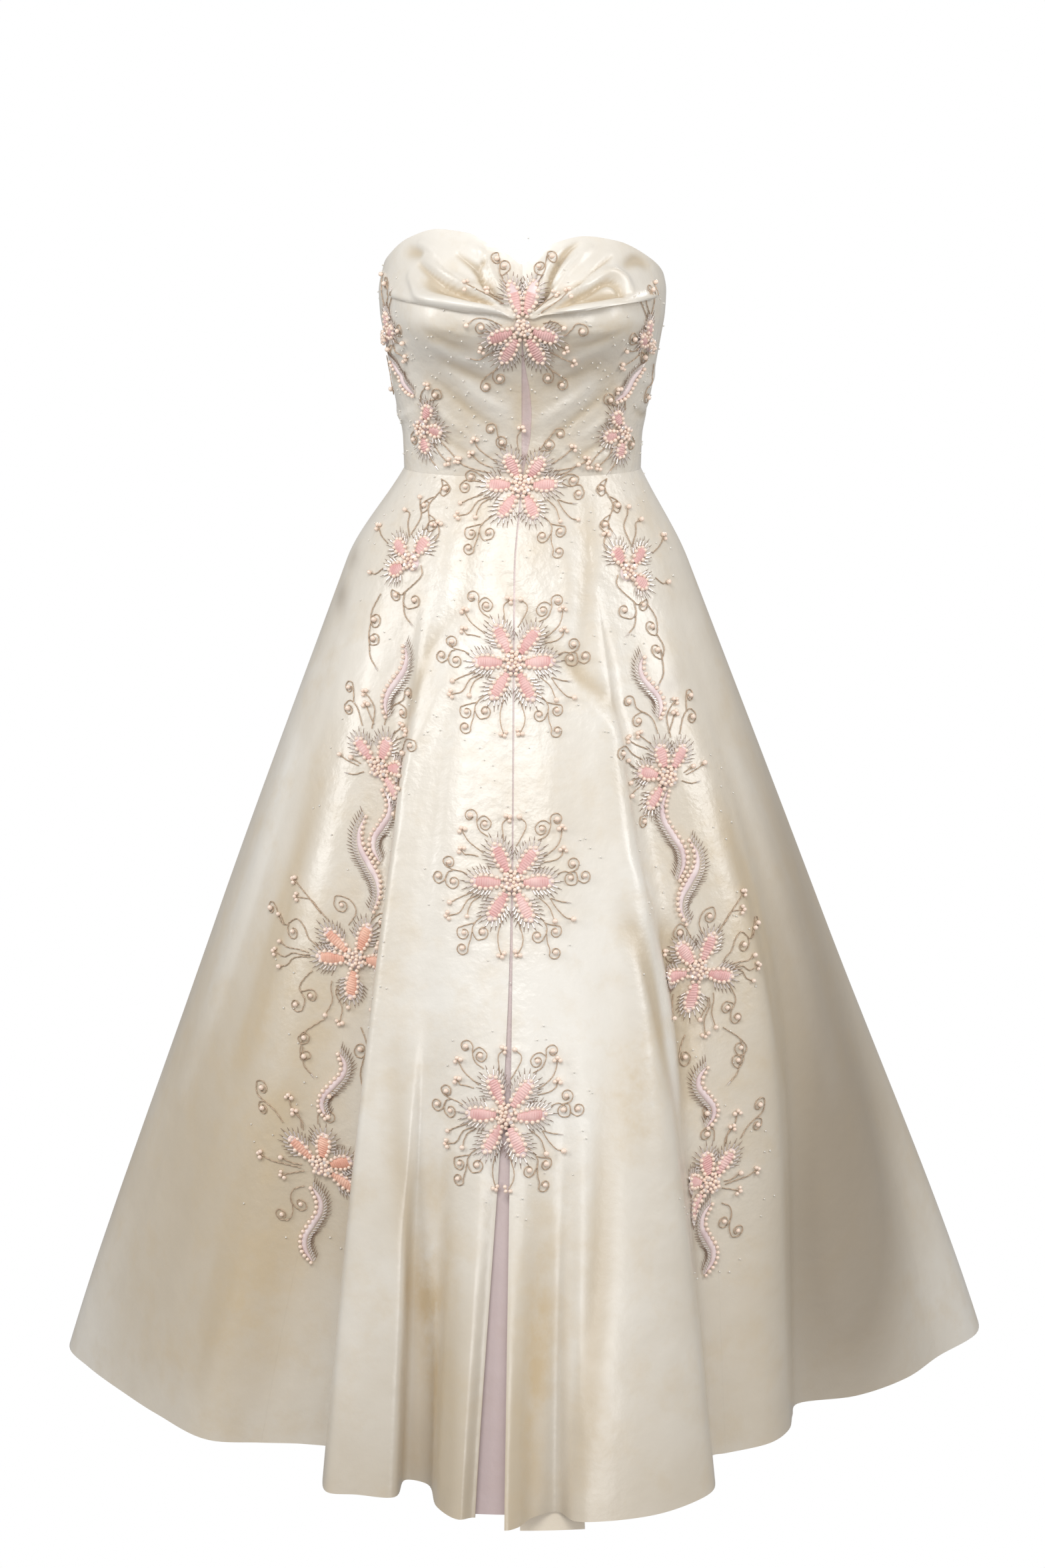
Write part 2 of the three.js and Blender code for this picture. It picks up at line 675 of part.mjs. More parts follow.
// A flower pad: a low mound of petals on a round base that follows the panels below it
function flowerPad(line, across, height, radius, petals) {
  const lobe = (angle) => {
    const nearest = Math.min(
      ...petals.map((petal) => Math.abs(((angle - petal + 540) % 360) - 180)),
    );
    return Math.exp(-((nearest / PETAL_SPREAD) ** 2));
  };
  const base = [];
  const top = [];
  for (let ring = 1; ring <= PAD_RINGS; ring += 1) {
    for (let sector = 0; sector < PAD_SECTORS; sector += 1) {
      const angle = (360 / PAD_SECTORS) * sector;
      const lift = lobe(angle);
      const reach = ((radius * ring) / PAD_RINGS) * lerp(BETWEEN_PETALS.reach, 1, lift);
      const inner = lerp(BETWEEN_PETALS.height, PETAL_HEIGHT, lift);
      const thick = ring === PAD_RINGS ? PAD_RIM : inner;
      const away = across + reach * Math.cos(toRadians(angle));
      const up = height + reach * Math.sin(toRadians(angle));
      base.push(overFace(line, away, up, PAD_CLEAR));
      top.push(overFace(line, away, up, PAD_CLEAR + thick));
    }
  }
  const hub = (out) => overFace(line, across, height, PAD_CLEAR + out);
  const points = [...base, hub(0), ...top, hub(CLUSTER_HEIGHT)];
  const perSide = base.length + 1;
  const faces = [];
  const at = (ring, sector, side) => {
    if (ring === 0) return side * perSide + base.length;
    return side * perSide + (ring - 1) * PAD_SECTORS + (sector % PAD_SECTORS);
  };
  for (let sector = 0; sector < PAD_SECTORS; sector += 1) {
    faces.push(at(0, 0, 1), at(1, sector, 1), at(1, sector + 1, 1));
    faces.push(at(0, 0, 0), at(1, sector + 1, 0), at(1, sector, 0));
    for (let ring = 1; ring < PAD_RINGS; ring += 1) {
      const [a, b] = [at(ring, sector, 1), at(ring + 1, sector, 1)];
      const [c, d] = [at(ring + 1, sector + 1, 1), at(ring, sector + 1, 1)];
      faces.push(a, b, c, a, c, d);
      const [e, f] = [at(ring, sector, 0), at(ring + 1, sector, 0)];
      const [g, h] = [at(ring + 1, sector + 1, 0), at(ring, sector + 1, 0)];
      faces.push(e, g, f, e, h, g);
    }
    const [p, q] = [at(PAD_RINGS, sector, 0), at(PAD_RINGS, sector + 1, 0)];
    const [r, s] = [at(PAD_RINGS, sector + 1, 1), at(PAD_RINGS, sector, 1)];
    faces.push(p, q, r, p, r, s);
  }
  return geometryFrom(points.flatMap((p) => [p.x, p.y, p.z]), faces);
}

// A feather leaf: a low ridge along a curved middle line
function leafPad(line, middle) {
  const spine = new THREE.SplineCurve(middle.map((pair) => new THREE.Vector2(...pair)));
  const sections = evenly(0, 1, LEAF_SECTIONS);
  const rib = (share, out) => {
    const centre = spine.getPoint(share);
    const ahead = spine.getTangent(share);
    const width = lerp(LEAF_TIP_WIDTH, LEAF_WIDTH, Math.sin(Math.PI * share) ** 0.7) / 2;
    return [-1, 0, 1].map((side) => {
      const across = centre.x - ahead.y * side * width;
      const height = centre.y + ahead.x * side * width;
      const thick = side === 0 ? LEAF_HEIGHT : PAD_RIM;
      return overFace(line, across, height, PAD_CLEAR + out * thick);
    });
  };
  const outer = sections.map((share) => rib(share, 1));
  const inner = sections.map((share) => rib(share, 0));
  return solidBetween(outer, inner);
}

function addEmbroidery() {
  for (const [name, line, across, height, radius, petals] of FLOWERS) {
    addPiece(name, flowerPad(LINES[line], across, height, radius, petals), "embroidery");
  }
  for (const [name, line, middle] of LEAVES) {
    addPiece(name, leafPad(LINES[line], middle), "leaf");
  }
}

addBodice();
addSkirt();
addUnderlays();
addEmbroidery();

export default gown;
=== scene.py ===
import math

import bpy
import numpy as np
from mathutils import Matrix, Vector


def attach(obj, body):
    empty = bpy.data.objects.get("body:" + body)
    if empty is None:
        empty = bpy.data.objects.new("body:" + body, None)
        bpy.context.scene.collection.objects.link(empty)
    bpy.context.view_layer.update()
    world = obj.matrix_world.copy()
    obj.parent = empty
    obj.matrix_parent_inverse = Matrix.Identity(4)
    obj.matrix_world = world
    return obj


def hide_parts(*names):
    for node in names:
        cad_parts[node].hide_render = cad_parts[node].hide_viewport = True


# A strapless satin ball gown, filled out as worn. Tables are in millimetres and degrees, with +Z up,
# -Y the front and +X the wearer's left, and meshes are made in metres.

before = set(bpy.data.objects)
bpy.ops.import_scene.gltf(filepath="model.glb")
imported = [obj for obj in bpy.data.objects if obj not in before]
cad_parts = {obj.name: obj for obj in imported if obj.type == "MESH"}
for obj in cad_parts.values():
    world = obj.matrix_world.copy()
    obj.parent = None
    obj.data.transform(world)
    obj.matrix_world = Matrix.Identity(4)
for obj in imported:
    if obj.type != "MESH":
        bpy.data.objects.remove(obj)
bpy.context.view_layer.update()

MM = 0.001
WALL = 1.6
UNDERLAY_WALL = 1.2
SEAM_GAP = 0.04
SKIRT_DROP = 894
HIP_SHARE = 0.1
MID_SHARE = 0.5
HIP_SHIFT = -5
HEM_FLATTENING = 0.85
SIDE_SEAM_TURN = 84
SIDE_BACK_TURN = 126
KNOT_HEIGHT = 150
WAIST_RING = (114.5, 85, 93)
HIP_RING = (166, 128, 138)

# Bodice rings: height, half width, depth in front, depth behind
BODICE_RINGS = [
    (0, 114.5, 85, 93),
    (31, 115.5, 86, 94),
    (57, 120.5, 90, 97),
    (80, 125, 95, 100),
    (105, 129, 102, 104),
    (128, 133, 108, 107),
    (150, 136.5, 110, 110),
    (170, 137.5, 109, 111),
    (193, 133, 103, 109),
    (214, 126.5, 97.5, 106),
    (235, 118, 91, 103),
]
CUP = {"turn": 31, "height": 150, "out": 34, "wide": 25, "up": 52, "down": 38, "sideways": 0.6}

# Top edge: degrees from the front, height
NECKLINE = [
    (-180, 128), (-150, 135), (-120, 163), (-97, 188), (-77, 205), (-60, 221.5), (-40, 231),
    (-24, 228), (-14, 218), (-6, 209), (0, 200), (6, 209), (14, 219.5), (27, 225), (44, 220),
    (66, 203), (82, 190), (100, 176), (120, 158), (150, 135), (180, 128),
]

# Lower edge of a cup: degrees from the front, height
CUP_EDGE = [
    (0, KNOT_HEIGHT), (4, 153), (8, 157), (20, 160), (28, 163.5), (40, 166.5), (60, 169), (84, 172),
]

# Princess seam of the bodice: height, degrees from the front
PRINCESS_SEAM = [(0, 51.5), (50, 47), (97, 44), (170, 44)]

# Slit at the centre front of the bodice: height, opening
SLIT = [(0, 1), (20, 5), (40, 8.6), (61, 9.5), (80, 8), (110, 3), (137, 0.8), (150, 0.8)]
SLIT_EDGE = -0.9

# Skirt columns from the centre front round the wearer's left side: name, degrees at the waist,
# degrees at the hip, then degrees and reach on the middle ring and on the hem
LEFT_COLUMNS = [
    ("cf_left", 0.4, -0.6, -1.9, 285, -2, 464),
    ("slit_roll", 3, 2, 1, 286, -0.6, 458),
    ("recess", 6, 5, 4, 286, 1.2, 436),
    ("recess_floor", 9.5, 8.5, 7.5, 286, 4.2, 424),
    ("recess_end", 13, 12, 11, 287, 6, 446),
    ("front", 18, 16, 15.5, 288, 9.5, 450),
    ("front", 23, 20, 19.5, 290, 15.5, 446),
    ("front", 26.5, 23.5, 23, 289, 20.8, 432),
    ("front_crest", 29, 25.5, 25.5, 283, 24.9, 414),
    ("front_crest_side", 30.5, 26.5, 28.2, 270, 27.8, 380),
    ("front_valley", 32, 27.5, 32, 262, 31, 345),
    ("side_front_left", 34, 29, 37.2, 266, 33.4, 347),
    ("side_front", 41, 38, 43.5, 280, 41.5, 354),
    ("side_crest", 50, 48, 50, 288, 47.5, 345),
    ("side_crest_side", 56, 54, 55, 284, 52.8, 327),
    ("side_valley", 60, 59, 59.5, 280, 57.8, 316),
    ("side", 66, 66, 66, 286, 65.5, 358),
    ("side", 74, 74, 74, 294, 75, 394),
    ("side_left", 82, 82, 82, 297, 84, 421),
    ("side", 91, 91, 91, 300, 93.5, 470),
    ("side", 101, 101, 101, 300, 102, 474),
]

# The same round the wearer's right side, where degrees count the other way
RIGHT_COLUMNS = [
    ("cf_right", 0.4, 1.2, 2.6, 284, 5.6, 438),
    ("lobe", 3, 4, 6, 286, 7.4, 444),
    ("lobe_side", 8, 9, 10, 287, 10.6, 420),
    ("trough", 12, 12, 14, 288, 13.6, 372),
    ("trough", 15, 15, 17, 288, 17, 368),
    ("front", 18, 18, 19.5, 289, 16.6, 408),
    ("front", 23, 22, 23.5, 291, 21.5, 414),
    ("front_crest", 31, 27, 27.5, 292, 25, 420),
    ("front_crest_side", 34, 30, 29.3, 280, 27.8, 395),
    ("front_valley", 38.5, 34, 31, 255, 32, 330),
    ("front_valley_end", 42, 37, 34, 252, 37.5, 338),
    ("side_front_right", 45.7, 40, 37.6, 258, 43, 362),
    ("side_front", 52, 48, 46, 280, 49, 394),
    ("side_front", 58, 56, 55, 290, 61, 403),
    ("side_front", 62, 61, 60.5, 292, 70, 415),
    ("side_right", 66, 66, 66, 295, 80.5, 440),
    ("side", 76, 76, 78, 303, 88, 461),
    ("side", 90, 90, 92, 304, 97, 455),
    ("side", 102, 102, 103, 300, 106, 440),
]

# Soft folds of the back, alike on both sides: degrees, reach on the middle ring, reach on the hem
BACK_COLUMNS = [
    (112, 294, 428), (122, 304, 452), (132, 293, 426), (142, 303, 450), (152, 294, 428),
    (162, 302, 450), (172, 296, 436),
]
SIDE_BACK_COLUMN = 2
CENTRE_BACK = (300, 446)

# Creases pressed or worn into the skirt: line they are placed from, how far they stand out (a
# trough is negative), half width, then points as across and height
SKIRT_CREASES = [
    ("centre", -1.4, 10, [(62, -12), (70, -60), (66, -120), (58, -190)]),
    ("centre", 1.1, 12, [(40, -25), (52, -90), (48, -160)]),
    ("centre", -0.9, 10, [(-30, -14), (-44, -70), (-50, -130)]),
    ("centre", 1.0, 11, [(-58, -20), (-66, -90), (-70, -170)]),
    ("seam_left", -5.5, 12, [(-34, -400), (-22, -440), (-17, -500), (-22, -560)]),
    ("seam_left", 4.0, 11, [(-60, -330), (-44, -400), (-40, -470), (-42, -560)]),
    ("seam_left", -3.0, 11, [(-78, -380), (-66, -450), (-66, -540)]),
    ("seam_left", -2.5, 10, [(-96, -90), (-70, -150), (-40, -190), (-18, -210)]),
    ("seam_left", 2.4, 10, [(-92, -130), (-66, -185), (-38, -225), (-14, -250)]),
    ("seam_right", -2.2, 9, [(60, -110), (40, -160), (24, -230)]),
    ("seam_right", 2.0, 9, [(76, -160), (54, -220), (38, -300)]),
    ("centre", -2.2, 14, [(90, -560), (96, -640), (104, -740), (112, -860)]),
    ("centre", 2.2, 14, [(64, -520), (72, -640), (80, -760), (84, -880)]),
    ("centre", 1.8, 13, [(-80, -540), (-88, -660), (-92, -760)]),
    ("centre", -1.8, 13, [(-104, -500), (-112, -640), (-120, -760)]),
    ("seam_left", -2.0, 13, [(60, -300), (84, -420), (110, -560)]),
    ("seam_left", 2.2, 15, [(110, -260), (150, -420), (190, -600)]),
    ("seam_right", -1.8, 14, [(-60, -240), (-84, -380), (-110, -560)]),
    ("seam_right", 2.0, 15, [(-120, -260), (-160, -420), (-205, -600)]),
    ("seam_right", -1.6, 12, [(-40, -560), (-66, -700), (-80, -850)]),
    ("back", -2.4, 15, [(-60, -180), (-84, -340), (-104, -520)]),
    ("back", 2.4, 16, [(70, -150), (96, -320), (120, -540)]),
    ("back", -2.0, 14, [(150, -260), (190, -440), (226, -640)]),
    ("back", 2.0, 15, [(-170, -220), (-214, -400), (-250, -600)]),
    ("back", -1.8, 14, [(20, -420), (28, -600), (30, -780)]),
    ("back", -1.2, 5, [(0, -6), (0, -220), (0, -450), (0, -670), (0, -885)]),
]

# Wrinkles of the bodice below the cups, in the same columns
BODICE_CREASES = [
    ("centre", 0.7, 2.5, [(34, 136), (60, 139), (92, 140)]),
    ("centre", -0.7, 3.0, [(40, 124), (66, 128), (96, 138)]),
    ("centre", 0.8, 3.5, [(30, 110), (52, 114), (80, 124)]),
    ("centre", -0.8, 4.5, [(18, 82), (44, 94), (78, 108)]),
    ("centre", 1.1, 6.0, [(16, 52), (44, 70), (76, 94)]),
    ("centre", -1.0, 4.5, [(26, 36), (56, 58), (90, 84)]),
    ("centre", 0.9, 4.0, [(52, 34), (78, 50), (104, 72)]),
    ("centre", -0.9, 3.5, [(40, 12), (70, 26), (98, 44)]),
    ("centre", 0.8, 3.0, [(60, 10), (84, 18), (106, 30)]),
    ("centre", 0.6, 2.5, [(20, 30), (36, 24), (50, 14)]),
    ("centre", 0.6, 3.0, [(-40, 134), (-62, 139), (-92, 146)]),
    ("centre", -0.7, 3.5, [(-44, 122), (-70, 128), (-98, 140)]),
    ("centre", 0.9, 4.0, [(-26, 106), (-54, 112), (-90, 126)]),
    ("centre", -0.9, 4.5, [(-22, 88), (-50, 98), (-82, 112)]),
    ("centre", 1.1, 6.0, [(-14, 62), (-40, 76), (-70, 100)]),
    ("centre", -1.0, 5.0, [(-20, 44), (-50, 62), (-84, 90)]),
    ("centre", 0.9, 4.0, [(-48, 36), (-74, 54), (-100, 78)]),
    ("centre", -0.8, 3.5, [(-36, 14), (-66, 28), (-98, 46)]),
    ("centre", 0.7, 3.0, [(-62, 8), (-84, 18), (-106, 28)]),
    ("centre", -0.5, 2.5, [(-16, 26), (-30, 20), (-44, 10)]),
    ("centre", -1.2, 3.7, [(128, 120), (150, 112), (172, 118)]),
    ("centre", 1.2, 3.7, [(126, 92), (150, 84), (176, 92)]),
    ("centre", -1.2, 3.7, [(120, 60), (146, 52), (172, 60)]),
    ("centre", 1.2, 3.7, [(-130, 122), (-154, 114), (-176, 120)]),
    ("centre", -1.2, 3.7, [(-126, 94), (-152, 88), (-176, 94)]),
    ("centre", 1.2, 3.7, [(-120, 58), (-146, 50), (-170, 58)]),
    ("back", 0.8, 4.5, [(-92, 14), (-50, 24), (-10, 20)]),
    ("back", -0.6, 5.0, [(-70, 34), (-40, 37), (-8, 33)]),
    ("back", 0.7, 5.0, [(10, 28), (44, 30), (96, 18)]),
    ("back", -0.7, 4.5, [(30, 52), (60, 48), (88, 36)]),
    ("back", 0.5, 6.0, [(-60, 70), (-34, 66), (-10, 70)]),
    ("back", -0.8, 2.5, [(0, 2), (0, 50), (0, 100), (0, 152)]),
]

# Pleats of the draped cups, in the same columns: soft rolls with a sharper trough below each
CUP_CREASES = [
    ("centre", 3.0, 5, [(-12, 153), (-30, 160), (-52, 163), (-76, 166), (-100, 171), (-118, 186)]),
    ("centre", -2.8, 3, [(-14, 158), (-34, 167), (-56, 174), (-78, 184), (-104, 198)]),
    ("centre", 3.2, 5, [(-14, 160), (-32, 172), (-54, 182), (-76, 193), (-98, 206)]),
    ("centre", -2.6, 3, [(-12, 158), (-24, 168), (-36, 182), (-42, 195), (-60, 208)]),
    ("centre", 2.4, 5, [(-10, 160), (-20, 175), (-29, 190), (-34, 206), (-46, 216)]),
    ("centre", -1.6, 3, [(-33, 214), (-35, 204), (-43, 194)]),
    ("centre", -1.6, 5, [(-58, 176), (-80, 178), (-98, 184)]),
    ("centre", 1.6, 6, [(-70, 200), (-90, 212), (-110, 218)]),
    ("centre", -1.4, 6, [(-84, 206), (-104, 210), (-128, 208)]),
    ("centre", 3.0, 5, [(12, 152), (30, 156), (60, 159), (96, 162), (130, 166), (170, 168)]),
    ("centre", -2.8, 3, [(12, 155), (34, 162), (58, 174), (78, 184), (92, 180), (99, 170)]),
    ("centre", 3.2, 5, [(14, 158), (34, 170), (56, 182), (78, 192), (98, 188), (110, 178)]),
    ("centre", -2.0, 3, [(16, 161), (40, 177), (66, 187), (84, 198)]),
    ("centre", -2.6, 3, [(12, 160), (22, 172), (28, 192), (40, 210), (51, 219)]),
    ("centre", 2.4, 5, [(10, 162), (16, 180), (22, 198), (30, 210)]),
    ("centre", 2.0, 5, [(20, 166), (34, 186), (46, 202), (62, 214)]),
    ("centre", -1.6, 5, [(56, 168), (80, 172), (104, 172)]),
    ("centre", -1.4, 6, [(100, 198), (122, 202), (146, 196)]),
    ("centre", -1.8, 1.8, [(-12, 154), (-30, 164), (-50, 169), (-72, 176), (-92, 186)]),
    ("centre", -1.6, 1.8, [(-14, 160), (-27, 176), (-33, 192), (-38, 210)]),
    ("centre", -1.5, 2.0, [(-24, 170), (-44, 178), (-66, 190), (-84, 204)]),
    ("centre", -1.6, 1.8, [(13, 154), (32, 160), (58, 167), (84, 171), (110, 172)]),
    ("centre", -1.6, 1.8, [(13, 161), (27, 178), (40, 194), (54, 208)]),
    ("centre", -1.5, 2.0, [(24, 166), (46, 178), (70, 196), (86, 206)]),
]
CUP_ROLL = 3.2  # how far the drape's lower fold stands over the bodice below it
CUP_ROLL_HEIGHT = 1
CUP_ROLL_REACH = 6
CUP_DROP = 2.6  # how far the fold hangs down over the bodice
PLEAT_DEPTH = 2.2
WRINKLE_DEPTH = 1.8
# Painted shade in the folds: the colour darkens with a trough's depth, and lightens a little on ridges
# as painted light
FOLD_SHADE_TONE = 0.36  # how much a trough a millimetre deep is darkened
CREASE_START = 0.02  # share of the skirt's drop over which its creases set in
WRINKLE_START = 6  # the same for the bodice's wrinkles, as a height
PLEAT_END = 9  # how far below the neckline the pleats start to die away


def hermite(start, end, slope_start, slope_end, share, length):
    """A cubic from start to end with the slopes given."""
    rise = end - start
    first = slope_start * length
    last = slope_end * length
    cubic = (first + last - 2 * rise) * share**3
    return start + first * share + (3 * rise - 2 * first - last) * share**2 + cubic


def table_values(table, at):
    """Smooth values of a table's other columns by its first one, which never pass its rows."""
    rows = np.array(table, float)
    x = np.clip(np.asarray(at, float), rows[0, 0], rows[-1, 0])
    step = np.diff(rows[:, 0])[:, None]
    slope = np.diff(rows[:, 1:], axis=0) / step
    before, after = slope[:-1], slope[1:]
    alike = before * after > 0
    weight_before = 2 * step[1:] + step[:-1]
    weight_after = step[1:] + 2 * step[:-1]
    divisor = weight_before / np.where(alike, before, 1) + weight_after / np.where(alike, after, 1)
    inner = np.where(alike, (weight_before + weight_after) / np.where(alike, divisor, 1), 0)
    tangent = np.vstack([slope[:1], inner, slope[-1:]])
    k = np.clip(np.searchsorted(rows[:, 0], x, side="left") - 1, 0, len(step) - 1)
    length = step[k]
    share = ((x - rows[k, 0])[..., None]) / length
    return hermite(rows[k, 1:], rows[k + 1, 1:], tangent[k], tangent[k + 1], share, length)


def table_value(table, at):
    return table_values(table, at)[..., 0]


def on_ellipse(turn, half, front, back):
    angle = np.radians(turn)
    depth = np.where(np.cos(angle) > 0, front, back)
    return np.stack([half * np.sin(angle), -depth * np.cos(angle)], -1)


def on_circle(turn, reach):
    return on_ellipse(turn, reach, reach, reach)


def skirt_columns():
    """All the skirt's columns in order round it from the centre front, by way of the left side."""

    def back(side):
        names = ["back"] * len(BACK_COLUMNS)
        names[SIDE_BACK_COLUMN] = "side_back_" + side
        return [(n, t, t, t, mid, t, hem) for n, (t, mid, hem) in zip(names, BACK_COLUMNS)]

    def turned(row):
        name, waist, hip, mid, mid_reach, hem, hem_reach = row
        return (name, 360 - waist, 360 - hip, 360 - mid, mid_reach, 360 - hem, hem_reach)

    middle = ("centre_back", 180, 180, 180, CENTRE_BACK[0], 180, CENTRE_BACK[1])
    right = [turned(row) for row in reversed(RIGHT_COLUMNS + back("right"))]
    return LEFT_COLUMNS + back("left") + [middle] + right


COLUMNS = skirt_columns()
COLUMN_COUNT = len(COLUMNS)
COLUMN_NAMES = [row[0] for row in COLUMNS]
PLACES = np.array([row[1:] for row in COLUMNS], float)
RINGS = [
    on_ellipse(PLACES[:, 0], *WAIST_RING),
    on_ellipse(PLACES[:, 1], *HIP_RING) + np.array([HIP_SHIFT, 0.0]),
    on_circle(PLACES[:, 2], PLACES[:, 3]),
    on_circle(PLACES[:, 4], PLACES[:, 5]),
]


def along_ring(points, place):
    """A closed centripetal curve through a ring's points, at fractional point numbers."""
    first = np.floor(place).astype(int)
    share = (place - first)[..., None]
    p0, p1, p2, p3 = (points[(first + k) % len(points)] for k in (-1, 0, 1, 2))

    def spacing(a, b):
        return np.maximum(np.sum((a - b) ** 2, -1) ** 0.25, 1e-4)[..., None]

    d0, d1, d2 = spacing(p0, p1), spacing(p1, p2), spacing(p2, p3)
    start = ((p1 - p0) / d0 - (p2 - p0) / (d0 + d1) + (p2 - p1) / d1) * d1
    end = ((p2 - p1) / d1 - (p3 - p1) / (d1 + d2) + (p3 - p2) / d2) * d1
    return hermite(p1, p2, start, end, share, 1.0)


def skirt_shape(column, share):
    """The skirt's outer face before creases. Column is fractional, share runs from waist to hem."""
    column, share = np.broadcast_arrays(np.asarray(column, float), np.asarray(share, float))
    waist, hip, mid, hem = (along_ring(ring, column) for ring in RINGS)
    t = share[..., None]
    top = (hip - waist) / HIP_SHARE
    upper = (mid - hip) / (MID_SHARE - HIP_SHARE)
    lower = (hem - mid) / (1 - MID_SHARE)
    middle = (upper + lower) / 2
    hip_part = hermite(waist, hip, top * 0.9, upper, t / HIP_SHARE, HIP_SHARE)
    mid_length = MID_SHARE - HIP_SHARE
    mid_part = hermite(hip, mid, upper, middle, (t - HIP_SHARE) / mid_length, mid_length)
    low_length = 1 - MID_SHARE
    low_part = hermite(
        mid, hem, middle, lower * HEM_FLATTENING, (t - MID_SHARE) / low_length, low_length
    )
    flat = np.where(t < HIP_SHARE, hip_part, np.where(t < MID_SHARE, mid_part, low_part))
    return np.concatenate([flat, -SKIRT_DROP * t], -1)


def bodice_shape(turn, height):
    """The bodice's outer face before pleats and wrinkles."""
    turn, height = np.broadcast_arrays(np.asarray(turn, float), np.asarray(height, float))
    rings = table_values(BODICE_RINGS, height)
    flat = on_ellipse(turn, rings[..., 0], rings[..., 1], rings[..., 2])
    aside = (np.abs(turn) - CUP["turn"]) / CUP["wide"]
    above = (height - CUP["height"]) / np.where(height > CUP["height"], CUP["up"], CUP["down"])
    out = CUP["out"] * np.exp(-(aside**2) - above**2) / np.linalg.norm(flat, axis=-1)
    return np.stack(
        [flat[..., 0] * (1 + out * CUP["sideways"]), flat[..., 1] * (1 + out), height], -1
    )


def arc_table(shape, us, vs):
    """Distances along u from the first u that is 0 or more, one row for each v."""
    points = shape(us[None, :], vs[:, None])
    steps = np.linalg.norm(np.diff(points, axis=1), axis=-1)
    arcs = np.concatenate([np.zeros((len(vs), 1)), np.cumsum(steps, axis=1)], axis=1)
    origin = np.searchsorted(us, 0.0)
    return arcs - arcs[:, origin : origin + 1]


# The skirt's columns are counted from the centre front, half way between the slit's two edges
CENTRE_COLUMN = -0.5
SKIRT_US = np.arange(-COLUMN_COUNT / 2, COLUMN_COUNT / 2 + 0.01, 0.05)
SKIRT_VS = np.linspace(0, 1, 181)
SKIRT_ARCS = arc_table(lambda u, v: skirt_shape(u + CENTRE_COLUMN, v), SKIRT_US, SKIRT_VS)
BODICE_US = np.arange(-180, 180.01, 0.5)
BODICE_VS = np.linspace(0, 236, 119)
BODICE_ARCS = arc_table(bodice_shape, BODICE_US, BODICE_VS)


def in_table(table, us, vs, u, v):
    """A table's value between its rows and columns."""
    i = np.clip((u - us[0]) / (us[1] - us[0]), 0, len(us) - 1.001)
    j = np.clip((v - vs[0]) / (vs[1] - vs[0]), 0, len(vs) - 1.001)
    i0, j0 = i.astype(int), j.astype(int)
    a, b = i - i0, j - j0
    if table.ndim == 3:
        a, b = a[..., None], b[..., None]
    top = table[j0, i0] * (1 - a) + table[j0, i0 + 1] * a
    low = table[j0 + 1, i0] * (1 - a) + table[j0 + 1, i0 + 1] * a
    return top * (1 - b) + low * b


def round_skirt(counted, share):
    """How far round the skirt a place lies from the centre front, by its counted column."""
    return in_table(SKIRT_ARCS, SKIRT_US, SKIRT_VS, counted, share)


def round_bodice(turn, height):
    """How far round the bodice a place lies from the centre front."""
    return in_table(BODICE_ARCS, BODICE_US, BODICE_VS, turn, height)


def skirt_across(column, share):
    """How far round the skirt a place lies from the centre front, by its column in the list."""
    counted = column - CENTRE_COLUMN
    counted = np.where(counted > COLUMN_COUNT / 2, counted - COLUMN_COUNT, counted)
    return round_skirt(counted, share)


def column_number(name):
    """A named column's number, counted from the centre front, with the right side negative."""
    k = COLUMN_NAMES.index(name)
    return (k if k < COLUMN_COUNT / 2 else k - COLUMN_COUNT) - CENTRE_COLUMN


# Lines that the embroidery of the skirt is placed from, and their columns
SKIRT_LINES = {"seam_left": "side_front_left", "seam_right": "side_front_right"}


def line_across(line, height):
    """How far round from the centre front a named line lies, at a height."""
    height = np.asarray(height, float)
    if line == "centre":
        return np.zeros_like(height)
    share = np.clip(-height / SKIRT_DROP, 0, 1)
    up = np.clip(height, 0, None)
    if line in SKIRT_LINES:
        return round_skirt(np.full_like(height, column_number(SKIRT_LINES[line])), share)
    if line == "back":
        skirt = round_skirt(np.full_like(height, column_number("centre_back")), share)
        return np.where(height < 0, skirt, round_bodice(np.full_like(height, 180.0), up))
    turn = table_value(PRINCESS_SEAM, up) * (1 if line == "princess_left" else -1)
    return round_bodice(turn, up)


def smooth_path(points, steps):
    """A Catmull-Rom curve through a list of points, with so many steps between two points."""
    p = np.array(points, float)
    padded = np.vstack([2 * p[0] - p[1], p, 2 * p[-1] - p[-2]])
    share = np.linspace(0, 1, steps, endpoint=False)[:, None]
    parts = []
    for k in range(len(p) - 1):
        p0, p1, p2, p3 = padded[k : k + 4]
        parts.append(hermite(p1, p2, (p2 - p0) / 2, (p3 - p1) / 2, share, 1.0))
    return np.vstack([*parts, p[-1:]])


